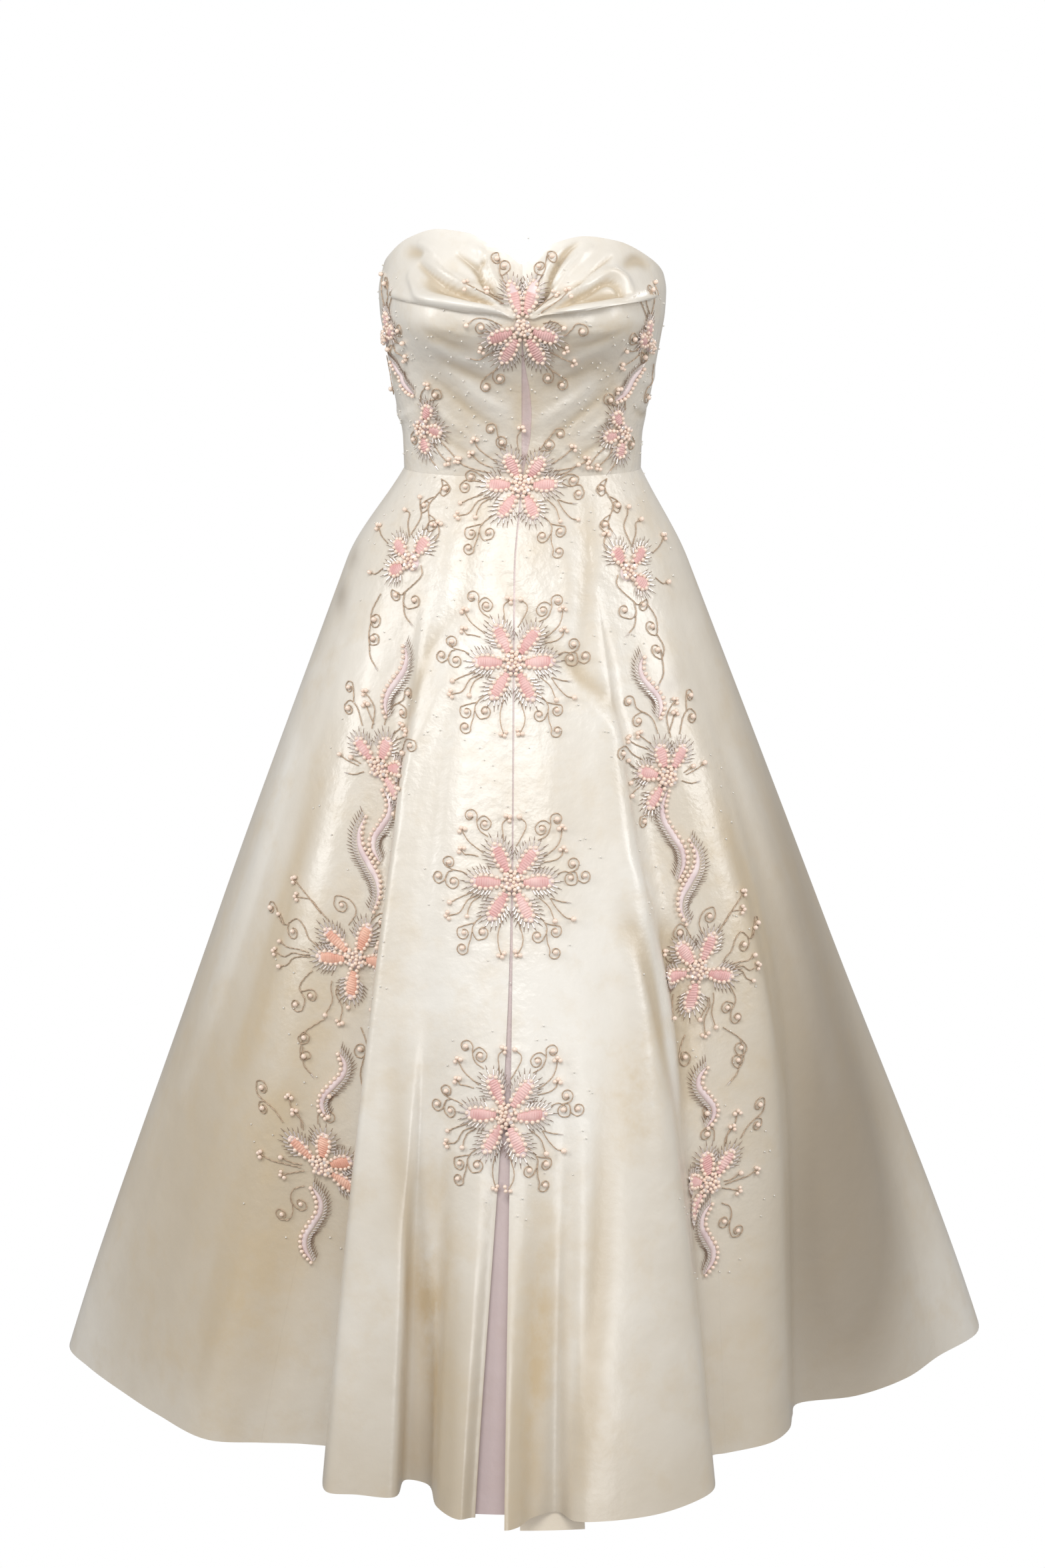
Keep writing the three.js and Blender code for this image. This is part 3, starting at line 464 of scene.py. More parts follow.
def crease_height(creases, across, height, around):
    """How far creases lift the face at places given as across and height. Around is the whole way
    round at each place, so that a crease placed from the centre back reaches over it."""
    lift = np.zeros(across.shape)
    for line, out, half_width, points in creases:
        path = smooth_path(points, 6)
        path[:, 0] += line_across(line, path[:, 1])
        reach = 3 * half_width
        wraps = (line == "back") & (across < 0)
        away = np.where(wraps, across + around, across)
        near = (
            (away > path[:, 0].min() - reach)
            & (away < path[:, 0].max() + reach)
            & (height > path[:, 1].min() - reach)
            & (height < path[:, 1].max() + reach)
        )
        if not near.any():
            continue
        spot = np.stack([away[near], height[near]], -1)[:, None, :]
        start = path[None, :-1]
        span = path[None, 1:] - start
        share = np.clip(np.sum((spot - start) * span, -1) / np.sum(span**2, -1), 0, 1)
        gap = np.linalg.norm(spot - start - share[..., None] * span, axis=-1)
        nearest = gap.argmin(1)
        rows = np.arange(len(nearest))
        along = (nearest + share[rows, nearest]) / (len(path) - 1)
        ends = np.sin(np.pi * (0.06 + 0.88 * along)) ** 0.8
        lift[near] += out * ends * np.exp(-((gap[rows, nearest] / half_width) ** 2))
    return lift


def normals_of(shape, u, v, step_u, step_v, v_sign):
    along_u = shape(u + step_u, v) - shape(u - step_u, v)
    along_v = (shape(u, v + step_v) - shape(u, v - step_v)) * v_sign
    normal = np.cross(along_u, along_v)
    return normal / np.linalg.norm(normal, axis=-1, keepdims=True)


def skirt_lift(column, share):
    """How far the skirt's creases lift it at places."""
    across = skirt_across(column, share)
    around = 2 * round_skirt(np.full_like(across, COLUMN_COUNT / 2), share)
    lift = crease_height(SKIRT_CREASES, across, -SKIRT_DROP * share, around)
    return lift * np.clip(share / CREASE_START, 0, 1)


def skirt_face(column, share, out=0.0):
    """A point of the creased skirt, moved out along its normal."""
    column, share = np.broadcast_arrays(np.asarray(column, float), np.asarray(share, float))
    lift = skirt_lift(column, share)
    normal = normals_of(skirt_shape, column, share, 0.01, 0.002, -1)
    return skirt_shape(column, share) + normal * (lift + out)[..., None]


def roll_share(across):
    """How full the lower fold of a cup is: it thins out at the knot and under the arm."""
    return np.clip(np.abs(across) / 12, 0, 1) * np.clip((170 - np.abs(across)) / 20, 0, 1)


def cup_lift(turn, height, across, around):
    """How far a cup's drape stands out: its rolled lower edge and its pleats."""
    above = height - table_value(CUP_EDGE, np.abs(turn)) - CUP_ROLL_HEIGHT
    over = np.exp(-((above / CUP_ROLL_REACH) ** 2))
    under = np.sqrt(np.clip(1 - (above / (CUP_DROP + CUP_ROLL_HEIGHT + 0.4)) ** 2, 0, 1))
    roll = CUP_ROLL * np.where(above > 0, over, under) * roll_share(across)
    pleats = PLEAT_DEPTH * crease_height(CUP_CREASES, across, height, around)
    below_top = np.clip((table_value(NECKLINE, turn) - height) / PLEAT_END, 0, 1)
    return roll + pleats * below_top * np.clip(np.abs(across) / 6, 0.25, 1)


def bodice_lift(turn, height, draped=None):
    """How far pleats and wrinkles lift the bodice. Draped says whether it is on a bust cup, and
    where that is left out each place decides for itself."""
    across = round_bodice(turn, height)
    around = 2 * round_bodice(np.full_like(turn, 180.0), height)
    edge = table_value(CUP_EDGE, np.abs(turn))
    on_cup = (np.abs(turn) < SIDE_SEAM_TURN) & (height >= edge)
    if draped is not None:
        on_cup = np.full(turn.shape, draped)
    lift = np.zeros(turn.shape)
    if on_cup.any():
        lift = np.where(on_cup, cup_lift(turn, height, across, around), lift)
    if not on_cup.all():
        low = WRINKLE_DEPTH * crease_height(BODICE_CREASES, across, height, around)
        lift = np.where(on_cup, lift, low * np.clip(height / WRINKLE_START, 0, 1))
    return lift


def bodice_face(turn, height, out=0.0, draped=None):
    """A point of the creased bodice, moved out along its normal."""
    turn, height = np.broadcast_arrays(np.asarray(turn, float), np.asarray(height, float))
    lift = bodice_lift(turn, height, draped)
    normal = normals_of(bodice_shape, turn, height, 0.2, 0.5, 1)
    return bodice_shape(turn, height) + normal * (lift + out)[..., None]


# Maps of the finished face by distance across and height, which the embroidery is laid on
MAP_STEP = 2.0
MAP_ACROSS = np.arange(-420, 420.1, MAP_STEP)


def face_map(face, us, round_of, heights, value_of):
    """Points of a face at every distance across and height, and its normals there."""
    across, height = np.meshgrid(MAP_ACROSS, heights)
    u = np.empty(across.shape)
    for j, value in enumerate(value_of(heights)):
        row = round_of(us, np.full(len(us), value))
        u[j] = np.interp(MAP_ACROSS, row, us)
    points = face(u, value_of(height))
    along = np.gradient(points, axis=1)
    up = np.gradient(points, heights, axis=0)
    normal = np.cross(along, up)
    normal /= np.linalg.norm(normal, axis=-1, keepdims=True)
    return points, normal


SKIRT_HEIGHTS = np.arange(-SKIRT_DROP, 0.1, 3.0)
BODICE_HEIGHTS = np.arange(0, 233, 1.5)
SKIRT_MAP = face_map(
    lambda u, v: skirt_face(u + CENTRE_COLUMN, v),
    SKIRT_US, round_skirt, SKIRT_HEIGHTS, lambda h: -h / SKIRT_DROP,
)
BODICE_MAP = face_map(bodice_face, BODICE_US, round_bodice, BODICE_HEIGHTS, lambda h: h)


def on_face(across, height):
    """Points and normals of the finished face at distances across and heights."""
    across, height = np.broadcast_arrays(np.asarray(across, float), np.asarray(height, float))
    results = []
    for k in (0, 1):
        skirt = in_table(SKIRT_MAP[k], MAP_ACROSS, SKIRT_HEIGHTS, across, height)
        bodice = in_table(BODICE_MAP[k], MAP_ACROSS, BODICE_HEIGHTS, across, height)
        results.append(np.where((height < 0)[..., None], skirt, bodice))
    points, normal = results
    return points, normal / np.linalg.norm(normal, axis=-1, keepdims=True)


# The cut pieces

def smooth_mesh(name, vertices, faces, materials, sharp_above, marks=None, indices=None):
    """A mesh object from points in millimetres."""
    mesh = bpy.data.meshes.new(name)
    mesh.from_pydata((np.asarray(vertices) * MM).tolist(), [], [list(f) for f in faces])
    for material in materials:
        mesh.materials.append(material)
    if indices is not None:
        mesh.polygons.foreach_set("material_index", np.asarray(indices, np.int32))
    mesh.polygons.foreach_set("use_smooth", np.ones(len(mesh.polygons), bool))
    mesh.set_sharp_from_angle(angle=math.radians(sharp_above))
    for mark, values in (marks or {}).items():
        layer = mesh.attributes.new(mark, "FLOAT", "POINT")
        layer.data.foreach_set("value", np.asarray(values, np.float32))
    mesh.update()
    piece = bpy.data.objects.new(name, mesh)
    bpy.context.collection.objects.link(piece)
    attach(piece, "root")
    return piece


def shell_faces(rows, columns):
    """Faces of a closed sheet between an outer and an inner grid of points, rows running up."""
    near = np.arange(rows * columns).reshape(rows, columns)
    far = near + rows * columns
    a, b, c, d = near[:-1, :-1], near[:-1, 1:], near[1:, 1:], near[1:, :-1]
    faces = [np.stack([a, b, c, d], -1).reshape(-1, 4)]
    a, b, c, d = far[:-1, :-1], far[1:, :-1], far[1:, 1:], far[:-1, 1:]
    faces.append(np.stack([a, b, c, d], -1).reshape(-1, 4))
    for outer, inner, turned in (
        (near[0], far[0], True),
        (near[-1], far[-1], False),
        (near[:, 0], far[:, 0], False),
        (near[:, -1], far[:, -1], True),
    ):
        quad = [outer[:-1], outer[1:], inner[1:], inner[:-1]]
        if turned:
            quad.reverse()
        faces.append(np.stack(quad, -1))
    return np.vstack(faces)


def cloth(name, outer, inner, material, across, height, lift=0.0):
    """A cut piece as a closed thin sheet, in place of its solid."""
    rows, columns = outer.shape[:2]
    points = np.concatenate([outer.reshape(-1, 3), inner.reshape(-1, 3)])
    marks = {
        mark: np.tile(spread_of(blobs, across, height).ravel(), 2)
        for mark, blobs in MARKS.items()
    }
    # Painted shade: the deep mark is raised in the creases' troughs by their depth, and lowered a little
    # on ridges and the cups' rolled edge as painted light
    painted_fold_shade = np.clip(-FOLD_SHADE_TONE * lift * np.ones(across.shape), -0.3, 0.9).ravel()
    marks["deep"] = np.clip(marks["deep"] + np.tile(painted_fold_shade, 2), 0, 1)
    piece = smooth_mesh(name + "_cloth", points, shell_faces(rows, columns), [material], 50, marks)
    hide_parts(name)


def spread_of(blobs, across, height):
    """How strongly soft-edged patches lie on places: the patches are given as line, across, height,
    half width, half height, strength."""
    total = np.zeros(across.shape)
    for line, beside, middle, wide, tall, strength in blobs:
        middle_line = line_across(line, height)
        wraps = (line == "back") & (across < 0)
        away = np.where(wraps, across + 2 * middle_line, across) - beside - middle_line
        total += strength * np.exp(-((away / wide) ** 2) - ((height - middle) / tall) ** 2)
    return np.clip(total, 0, 1)


# Yellowed patches, in the columns of spread_of; one streak near the hem is painted shade in the
# trough of a fold. The grey patches further down use the same columns.
WARM_PATCHES = [
    ("centre", 122, -532, 30, 46, 0.9),
    ("centre", 48, -760, 18, 100, 1.0),
    ("centre", -80, -690, 26, 70, 0.6),
    # Painted shade in the trough of a fold on the right front near the hem
    ("centre", -98, -800, 17, 110, 1.3),
    ("seam_right", -60, -520, 60, 110, 0.5),
    ("seam_right", -40, -760, 50, 90, 0.6),
    ("seam_left", 40, -420, 40, 120, 0.4),
    ("centre", 60, 138, 60, 12, 0.7),
    ("centre", -66, 138, 56, 12, 0.7),
    ("centre", 0, 60, 14, 60, 0.4),
    ("back", 60, -320, 70, 120, 0.5),
    ("back", -90, -640, 80, 90, 0.6),
    ("back", 30, 70, 40, 40, 0.4),
]
# Broad darkening, in the same columns. On the side gores it is partly yellowing and partly painted
# shade where they turn away from the light; over the back, along the hem and in a few streaks and
# patches on the skirt's front it is darker; on the bodice the band below the cups is painted shade,
# and a narrow band higher up is darker
SHADE_AND_YELLOWING_PLACES = [
    # Partly yellowing, partly painted shade where the side gores turn away from the light
    ("seam_right", -170, -620, 170, 330, 0.85),
    ("seam_left", 190, -560, 190, 420, 1.0),
    ("seam_right", -20, -640, 60, 240, 0.45),
    ("centre", 0, -900, 330, 190, 0.7),
    ("centre", -58, -790, 24, 130, 0.6),
    ("centre", 26, -800, 14, 130, 0.5),
    ("back", 0, -620, 300, 330, 0.7),
    # Painted shade below the cups, where the bodice faces downwards
    ("centre", 0, 92, 120, 48, 0.35),
    ("centre", 0, 168, 90, 14, 0.3),
]
# Grey patches; the two broad ones on the wearer's left side of the skirt are painted shade
GREY_PATCHES_AND_SIDE_SHADE = [
    ("centre", -205, -120, 16, 14, 0.7),
    ("centre", -190, -84, 12, 10, 0.5),
    ("centre", 160, -192, 14, 14, 0.6),
    # Painted shade where the wearer's left side of the skirt turns away from the light
    ("seam_left", 170, -420, 60, 240, 0.6),
    ("seam_left", 215, -720, 90, 220, 1.3),
    ("back", -150, -260, 30, 40, 0.4),
    ("back", 120, -760, 40, 30, 0.5),
]

# Flowers: name, line it is placed from, how far across that line, height, radius, petal directions
CENTRE_PETALS = [2, 54, 117, 178, 237, 299]
FLOWERS = [
    ("flower_centre_1", "centre", 0, 143, 42, [74, 112, 200, 241, 298, 340]),
    ("flower_centre_2", "centre", 0, -8, 46, CENTRE_PETALS),
    ("flower_centre_3", "centre", 0, -165, 52, CENTRE_PETALS),
    ("flower_centre_4", "centre", 0, -355, 52, CENTRE_PETALS),
    ("flower_centre_5", "centre", 0, -553, 52, CENTRE_PETALS),
    ("flower_bodice_right_1", "princess_right", -66, 128, 34, [80, 20]),
    ("flower_bodice_right_2", "princess_right", -12, 44, 35, [60, -8, -75]),
    ("flower_bodice_left_1", "princess_left", 43, 122, 34, [100, 160]),
    ("flower_bodice_left_2", "princess_left", 13, 39, 35, [125, 188, 255]),
    ("flower_right_1", "seam_right", 6, -79, 38, [140, 55, 205]),
    ("flower_right_2", "seam_right", -3, -267, 44, [125, 62, 5, -50]),
    ("flower_right_3", "seam_right", 0, -439, 51, [135, 178, 255, 62, 0]),
    ("flower_right_4", "seam_right", 4, -631, 47, [128, 66, 13, -34]),
    ("flower_left_1", "seam_left", 27, -88, 38, [125, 45, -35]),
    ("flower_left_2", "seam_left", 13, -274, 44, [110, 60, 165, 235]),
    ("flower_left_3", "seam_left", 3, -448, 49, [130, 72, 185, 265, -12]),
    ("flower_left_4", "seam_left", -5, -643, 46, [115, 65, 165, 230]),
]
SEWN_PLACES = [
    (line, across, height, radius * 1.5, radius * 1.6, 1.0)
    for name, line, across, height, radius, petals in FLOWERS
]

MARKS = {"warm": WARM_PATCHES, "deep": SHADE_AND_YELLOWING_PLACES, "grey": GREY_PATCHES_AND_SIDE_SHADE, "sewn": SEWN_PLACES}


def leaf_course(across, top, length, drift, sway):
    """A leaf's middle line: it drifts across as it goes down and sways once to either side."""
    share = np.linspace(0, 1, 7)
    middle = across + drift * share + sway * np.sin(math.tau * share)
    return list(zip(middle.tolist(), (top - length * share).tolist()))


# Feather leaves: name, line they are placed from, side their pearls are on (1 is the wearer's
# left), then how far across and up the top end lies, length, drift and sway
LEAVES = [
    (name, line, side, leaf_course(*shape)) for name, line, side, *shape in [
        ("leaf_bodice_right", "princess_right", -1, -60, 105, 30, 40, 3),
        ("leaf_bodice_left", "princess_left", 1, 35, 100, 30, -35, -3),
        ("leaf_right_1", "seam_right", -1, 10, -155, 65, -10, 6),
        ("leaf_right_2", "seam_right", -1, 5, -285, 65, 5, 8),
        ("leaf_right_3", "seam_right", 1, -10, -310, 85, 20, -8),
        ("leaf_right_4", "seam_right", -1, 0, -525, 60, 0, 8),
        ("leaf_right_5", "seam_right", -1, 0, -650, 70, 15, 8),
        ("leaf_left_1", "seam_left", 1, 20, -165, 55, 0, -6),
        ("leaf_left_2", "seam_left", 1, 10, -285, 80, -10, -8),
        ("leaf_left_3", "seam_left", -1, 20, -330, 75, -20, 8),
        ("leaf_left_4", "seam_left", 1, 0, -535, 55, -5, -8),
        ("leaf_left_5", "seam_left", 1, -5, -660, 65, -10, -8),
    ]
]


def linear(colour):
    """Linear light from a colour written as 0 to 255."""
    return [((c / 255 + 0.055) / 1.055) ** 2.4 for c in colour]


def shader(name, colour, roughness, metallic=0.0, **inputs):
    """A plain Principled material, and its shader node."""
    material = bpy.data.materials.new(name)
    material.use_nodes = True
    node = material.node_tree.nodes["Principled BSDF"]
    node.inputs["Base Color"].default_value = (*linear(colour), 1)
    node.inputs["Roughness"].default_value = roughness
    node.inputs["Metallic"].default_value = metallic
    for key, value in inputs.items():
        node.inputs[key.replace("_", " ")].default_value = value
    return material, node


def satin(name, light, deep, warm, grey, roughness):
    """Aged satin: two tones in soft clouds, patches by the mesh's marks, and fine puckers near
    the embroidery. The marks hold stains and yellowing, and also painted shade in the folds'
    troughs, below the cups and where the gores turn away, with painted light on ridges."""
    material, principled = shader(name, light, roughness, Specular_IOR_Level=0.8)
    nodes, links = material.node_tree.nodes, material.node_tree.links

    def noise(scale, detail, roughness_of):
        node = nodes.new("ShaderNodeTexNoise")
        node.inputs["Scale"].default_value = scale
        node.inputs["Detail"].default_value = detail
        node.inputs["Roughness"].default_value = roughness_of
        links.new(place.outputs["Object"], node.inputs["Vector"])
        return node.outputs["Fac"]

    def ramp(source, low, high, to_low=0.0, to_high=1.0):
        node = nodes.new("ShaderNodeMapRange")
        node.inputs["From Min"].default_value = low
        node.inputs["From Max"].default_value = high
        node.inputs["To Min"].default_value = to_low
        node.inputs["To Max"].default_value = to_high
        links.new(source, node.inputs["Value"])
        return node.outputs["Result"]

    def mixed(share, below, above):
        node = nodes.new("ShaderNodeMix")
        node.data_type = "RGBA"
        links.new(share, node.inputs["Factor"])
        if isinstance(below, bpy.types.NodeSocket):
            links.new(below, node.inputs["A"])
        else:
            node.inputs["A"].default_value = (*linear(below), 1)
        node.inputs["B"].default_value = (*linear(above), 1)
        return node.outputs["Result"]

    def product(source, factor):
        node = nodes.new("ShaderNodeMath")
        node.operation = "MULTIPLY"
        links.new(source, node.inputs[0])
        if isinstance(factor, bpy.types.NodeSocket):
            links.new(factor, node.inputs[1])
        else:
            node.inputs[1].default_value = factor
        return node.outputs["Value"]

    def bump(height, strength, distance, below=None):
        node = nodes.new("ShaderNodeBump")
        node.inputs["Strength"].default_value = strength
        node.inputs["Distance"].default_value = distance
        links.new(height, node.inputs["Height"])
        if below is not None:
            links.new(below, node.inputs["Normal"])
        return node.outputs["Normal"]

    def mark(name_of):
        node = nodes.new("ShaderNodeAttribute")
        node.attribute_name = name_of
        return node.outputs["Fac"]

    place = nodes.new("ShaderNodeTexCoord")
    clouds = noise(5, 4, 0.6)
    blotches = noise(22, 5, 0.65)
    puckers = noise(95, 3, 0.55)
    ripples = noise(13, 3, 0.5)
    crumples = noise(42, 4, 0.55)
    colour = mixed(product(ramp(clouds, 0.36, 0.66), 0.45), light, deep)
    # The deep mark: yellowing, and painted shade in fold troughs, below the cups and on the turning side
    # gores, with less of it on ridges as painted light
    colour = mixed(product(mark("deep"), 0.85), colour, deep)
    # The warm mark: stains, and one streak of painted shade in a fold's trough
    stains_and_trough_shade = product(mark("warm"), ramp(blotches, 0.3, 0.62))
    colour = mixed(product(ramp(blotches, 0.5, 0.8), 0.35), colour, warm)
    colour = mixed(product(stains_and_trough_shade, 0.8), colour, warm)
    # The grey mark: grey patches, and painted shade on the wearer's left side of the skirt
    colour = mixed(product(mark("grey"), 0.7), colour, grey)
    links.new(colour, principled.inputs["Base Color"])
    gloss = ramp(blotches, 0.3, 0.7, roughness - 0.04, roughness + 0.06)
    links.new(gloss, principled.inputs["Roughness"])
    fine = bump(product(puckers, mark("sewn")), 0.7, 0.002)
    worn = bump(crumples, 0.16, 0.004, fine)
    soft = bump(ripples, 0.28, 0.005, worn)
    links.new(soft, principled.inputs["Normal"])
    return material


IVORY = satin(
    "ivory_satin", (236, 231, 222), (198, 181, 154), (206, 182, 142), (150, 137, 120), 0.32
)
LILAC = satin("lilac_satin", (226, 208, 206), (212, 192, 192), (205, 182, 170), (180, 168, 168), 0.36)
# The inner layer is whiter than the satin outside so that it comes out lighter in the shade of the front
# gore over it: painted light
LINING = satin("inner_layer", (252, 240, 222), (244, 230, 208), (232, 214, 184), (222, 210, 190), 0.45)


COLUMN_STEP = 0.01  # a small step in columns, to measure how wide they are


def skirt_gore(name, start, end, open_start, open_end):
    """A gore between two columns. At a seam it keeps half the gap, at the slit its edge is the
    column itself."""
    columns = np.linspace(start, end, int((end - start) * 8) + 1)
    shares = np.linspace(1, SEAM_GAP / 2 / SKIRT_DROP, 150)
    u, v = np.meshgrid(columns, shares)
    ahead = skirt_shape(u + COLUMN_STEP, v)
    width = np.linalg.norm(ahead - skirt_shape(u - COLUMN_STEP, v), axis=-1)
    half_gap = SEAM_GAP / 2 * 2 * COLUMN_STEP / width
    if not open_start:
        u[:, 0] += half_gap[:, 0]
    if not open_end:
        u[:, -1] -= half_gap[:, -1]
    cloth(
        name, skirt_face(u, v), skirt_face(u, v, -WALL), IVORY,
        skirt_across(u, v), -SKIRT_DROP * v, skirt_lift(u, v),
    )


# Gores from the slit round by the left side, each with the column that it ends at
GORES = [
    ("skirt_front_left", "side_front_left"),
    ("skirt_side_front_left", "side_left"),
    ("skirt_side_back_left", "side_back_left"),
    ("skirt_back_left", "centre_back"),
    ("skirt_back_right", "side_back_right"),
    ("skirt_side_back_right", "side_right"),
    ("skirt_side_front_right", "side_front_right"),
    ("skirt_front_right", "cf_right"),
]


def add_skirt():
    start = 0
    for k, (name, last) in enumerate(GORES):
        end = COLUMN_NAMES.index(last)
        skirt_gore(name, start, end, k == 0, k == len(GORES) - 1)
        start = end


def degrees_across(width, turn, height):
    step = bodice_shape(turn + 0.5, height) - bodice_shape(turn - 0.5, height)
    return width / np.linalg.norm(step, axis=-1)


def bodice_piece(name, start, end, bottom, top, steps, rows, draped):
    """A bodice piece between two edges, each given as degrees by height, and between a bottom and
    a top, each given as height by degrees."""
    u, v = np.meshgrid(np.linspace(0, 1, steps + 1), np.linspace(0, 1, rows + 1))
    turn = np.full(u.shape, float(start(0.0) + end(0.0)) / 2)
    height = bottom(turn) + (top(turn) - bottom(turn)) * v
    for _ in range(3):
        turn = start(height) + (end(height) - start(height)) * u
        height = bottom(turn) + (top(turn) - bottom(turn)) * v
    cloth(
        name, bodice_face(turn, height, 0.0, draped), bodice_face(turn, height, -WALL, draped),
        IVORY, round_bodice(turn, height), height,
        bodice_lift(turn, height, draped),
    )


def add_bodice():
    half = SEAM_GAP / 2

    def cup_edge(turn):
        return table_value(CUP_EDGE, np.abs(turn))

    def neckline(turn):
        return table_value(NECKLINE, turn)

    def waist(turn):
        return np.full(np.shape(turn), half)

    def under_cup(turn):
        return cup_edge(turn) - half

    def over_cup(turn):
        edge = cup_edge(turn)
        full = roll_share(round_bodice(turn, edge))
        return edge + half - CUP_DROP * np.clip(2 * full - 1, 0, 1)

    def slit_right(height):
        return degrees_across(SLIT_EDGE, 0.0, height)

    def slit_left(height):
        return degrees_across(SLIT_EDGE + table_value(SLIT, height), 0.0, height)

    def princess(height):
        return table_value(PRINCESS_SEAM, height)

    def seam(turn, side):
        def edge(height):
            at = turn(height) if callable(turn) else turn
            return at + side * degrees_across(half, at, height)

        return edge

    def mirrored(edge):
        return lambda height: -edge(height)

    arm = SIDE_SEAM_TURN
    behind = SIDE_BACK_TURN
    # Piece: its edges on the wearer's left, its bottom and top, steps, rows, whether it is draped
    pieces = [
        ("bodice_front", slit_left, seam(princess, -1), waist, under_cup, 36, 64, False),
        ("bodice_side_front", seam(princess, 1), seam(arm, -1), waist, under_cup, 28, 64, False),
        ("bust_cup", seam(0, 1), seam(arm, -1), over_cup, neckline, 100, 46, True),
        ("bodice_side_back", seam(arm, 1), seam(behind, -1), waist, neckline, 28, 60, False),
        ("bodice_back", seam(behind, 1), seam(180, -1), waist, neckline, 36, 56, False),
    ]
    for name, start, end, bottom, top, steps, rows, draped in pieces:
        bodice_piece(name + "_left", start, end, bottom, top, steps, rows, draped)
        far = slit_right if start is slit_left else mirrored(start)
        bodice_piece(name + "_right", mirrored(end), far, bottom, top, steps, rows, draped)


# Lilac strip behind the skirt's slit: share of the drop, degrees of its edges, how far it lies
# behind the slit's edge
SKIRT_UNDERLAY = [(0.004, -6, 6, 1.8), (0.1, -5, 4, 1.9), (0.5, -6, 2, 2.6), (1, -8.6, 1.6, 8)]
BODICE_UNDERLAY = {"start": -5, "end": 9, "bottom": 2, "top": 146, "behind": 1.8}
# The marks placed on the underlays hold painted shade as well as stains
DEGREE_ACROSS = 5  # roughly, at the skirt's front, which is near enough for stains
UNDERSKIRT = {"start": -0.3, "end": 7.6, "reach": 421.6, "top": -850, "bottom": -911, "lean": 0.264}


def add_underlays():
    strip = BODICE_UNDERLAY
    turn, height = np.meshgrid(
        np.linspace(strip["start"], strip["end"], 12), np.linspace(strip["bottom"], strip["top"], 40)
    )
    normal = normals_of(bodice_shape, turn, height, 0.2, 0.5, 1)
    face = bodice_shape(turn, height) - normal * strip["behind"]
    cloth(
        "bodice_underlay", face, face - normal * UNDERLAY_WALL, LILAC,
        round_bodice(turn, height), height,
    )

    u, share = np.meshgrid(np.linspace(0, 1, 9), np.linspace(1, SKIRT_UNDERLAY[0][0], 90))
    edges = table_values(SKIRT_UNDERLAY, share)
    turn = edges[..., 0] + (edges[..., 1] - edges[..., 0]) * u
    edge = skirt_shape(COLUMN_COUNT - 1.0, share)
    reach = np.linalg.norm(edge[..., :2], axis=-1) - edges[..., 2]

    def ring(reach_of, height_of):
        flat = on_circle(turn, 1.0) * reach_of[..., None]
        return np.concatenate([flat, height_of[..., None]], -1)

    height = -SKIRT_DROP * share
    cloth(
        "skirt_underlay", ring(reach, height), ring(reach - UNDERLAY_WALL, height), LILAC,
        turn * DEGREE_ACROSS, height,
    )

    hem = UNDERSKIRT
    turn, height = np.meshgrid(
        np.linspace(hem["start"], hem["end"], 24), np.linspace(hem["bottom"], hem["top"], 24)
    )
    reach = hem["reach"] - hem["lean"] * (height + SKIRT_DROP)
    cloth(
        "underskirt_hem", ring(reach, height), ring(reach - UNDERLAY_WALL, height), LINING,
        turn * DEGREE_ACROSS, height,
    )


add_bodice()
add_skirt()
add_underlays()


# Embroidery is built flat in a plan of its own, across and up from its line, and laid on the face

class Pile:
    """Points and faces gathered into one mesh."""

    def __init__(self):
        self.points = []
        self.faces = []
        self.indices = []
        self.count = 0

    def add(self, points, faces, index=0):
        points = np.asarray(points, float).reshape(-1, 3)
        self.points.append(points)
        self.cover(faces, self.count, index)
        self.count += len(points)

    def cover(self, faces, start, index=0):
        """Faces over points that are there or about to be, numbered from start."""
        rows = np.asarray(faces, int) + start
        self.faces.extend(rows.tolist())
        self.indices.extend([index] * len(rows))

    def stamp(self, form, places, x_axes, y_axes, z_axes, sizes, index=0):
        """Copies of a small form at places, turned to the axes given and sized along each."""
        points, faces = form
        if not len(places):
            return
        sizes = np.broadcast_to(np.asarray(sizes, float), (len(places), 3))
        parts = [
            points[None, :, k, None] * (axis * sizes[:, k : k + 1])[:, None]
            for k, axis in enumerate((x_axes, y_axes, z_axes))
        ]
        moved = places[:, None] + parts[0] + parts[1] + parts[2]
        offsets = np.arange(len(places))[:, None] * len(points)
        self.points.append(moved.reshape(-1, 3))
        for face in faces:
            self.cover(offsets + np.asarray(face)[None], self.count, index)
        self.count += len(moved.reshape(-1, 3))

    def piece(self, name, materials, slot, sharp_above, replaced=None):
        if not self.count:
            return
        made = smooth_mesh(
            name, np.vstack(self.points), self.faces, materials, sharp_above, indices=self.indices
        )
        if replaced:
            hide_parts(replaced)


def grid_quads(rows, columns):
    """Faces over a grid of points."""
    number = np.arange(rows * columns).reshape(rows, columns)
    return np.stack([number[:-1, :-1], number[1:, :-1], number[1:, 1:], number[:-1, 1:]], -1)


def ball_form(rings, sides):
    """A bead: a ball with its axis along z."""
    points = [(0, 0, 1)]
    for i in range(1, rings):
        tilt = math.pi * i / rings
        for k in range(sides):
            turn = math.tau * k / sides
            flat = math.sin(tilt)
            points.append((flat * math.cos(turn), flat * math.sin(turn), math.cos(tilt)))
    points.append((0, 0, -1))
    last = len(points) - 1
    faces = []
    for k in range(sides):
        after = (k + 1) % sides
        faces.append((0, 1 + k, 1 + after))
        for i in range(rings - 2):
            a, b = 1 + i * sides, 1 + (i + 1) * sides
            faces.append((a + k, b + k, b + after, a + after))
        a = 1 + (rings - 2) * sides
        faces.append((a + k, last, a + after))
    return np.array(points, float), faces


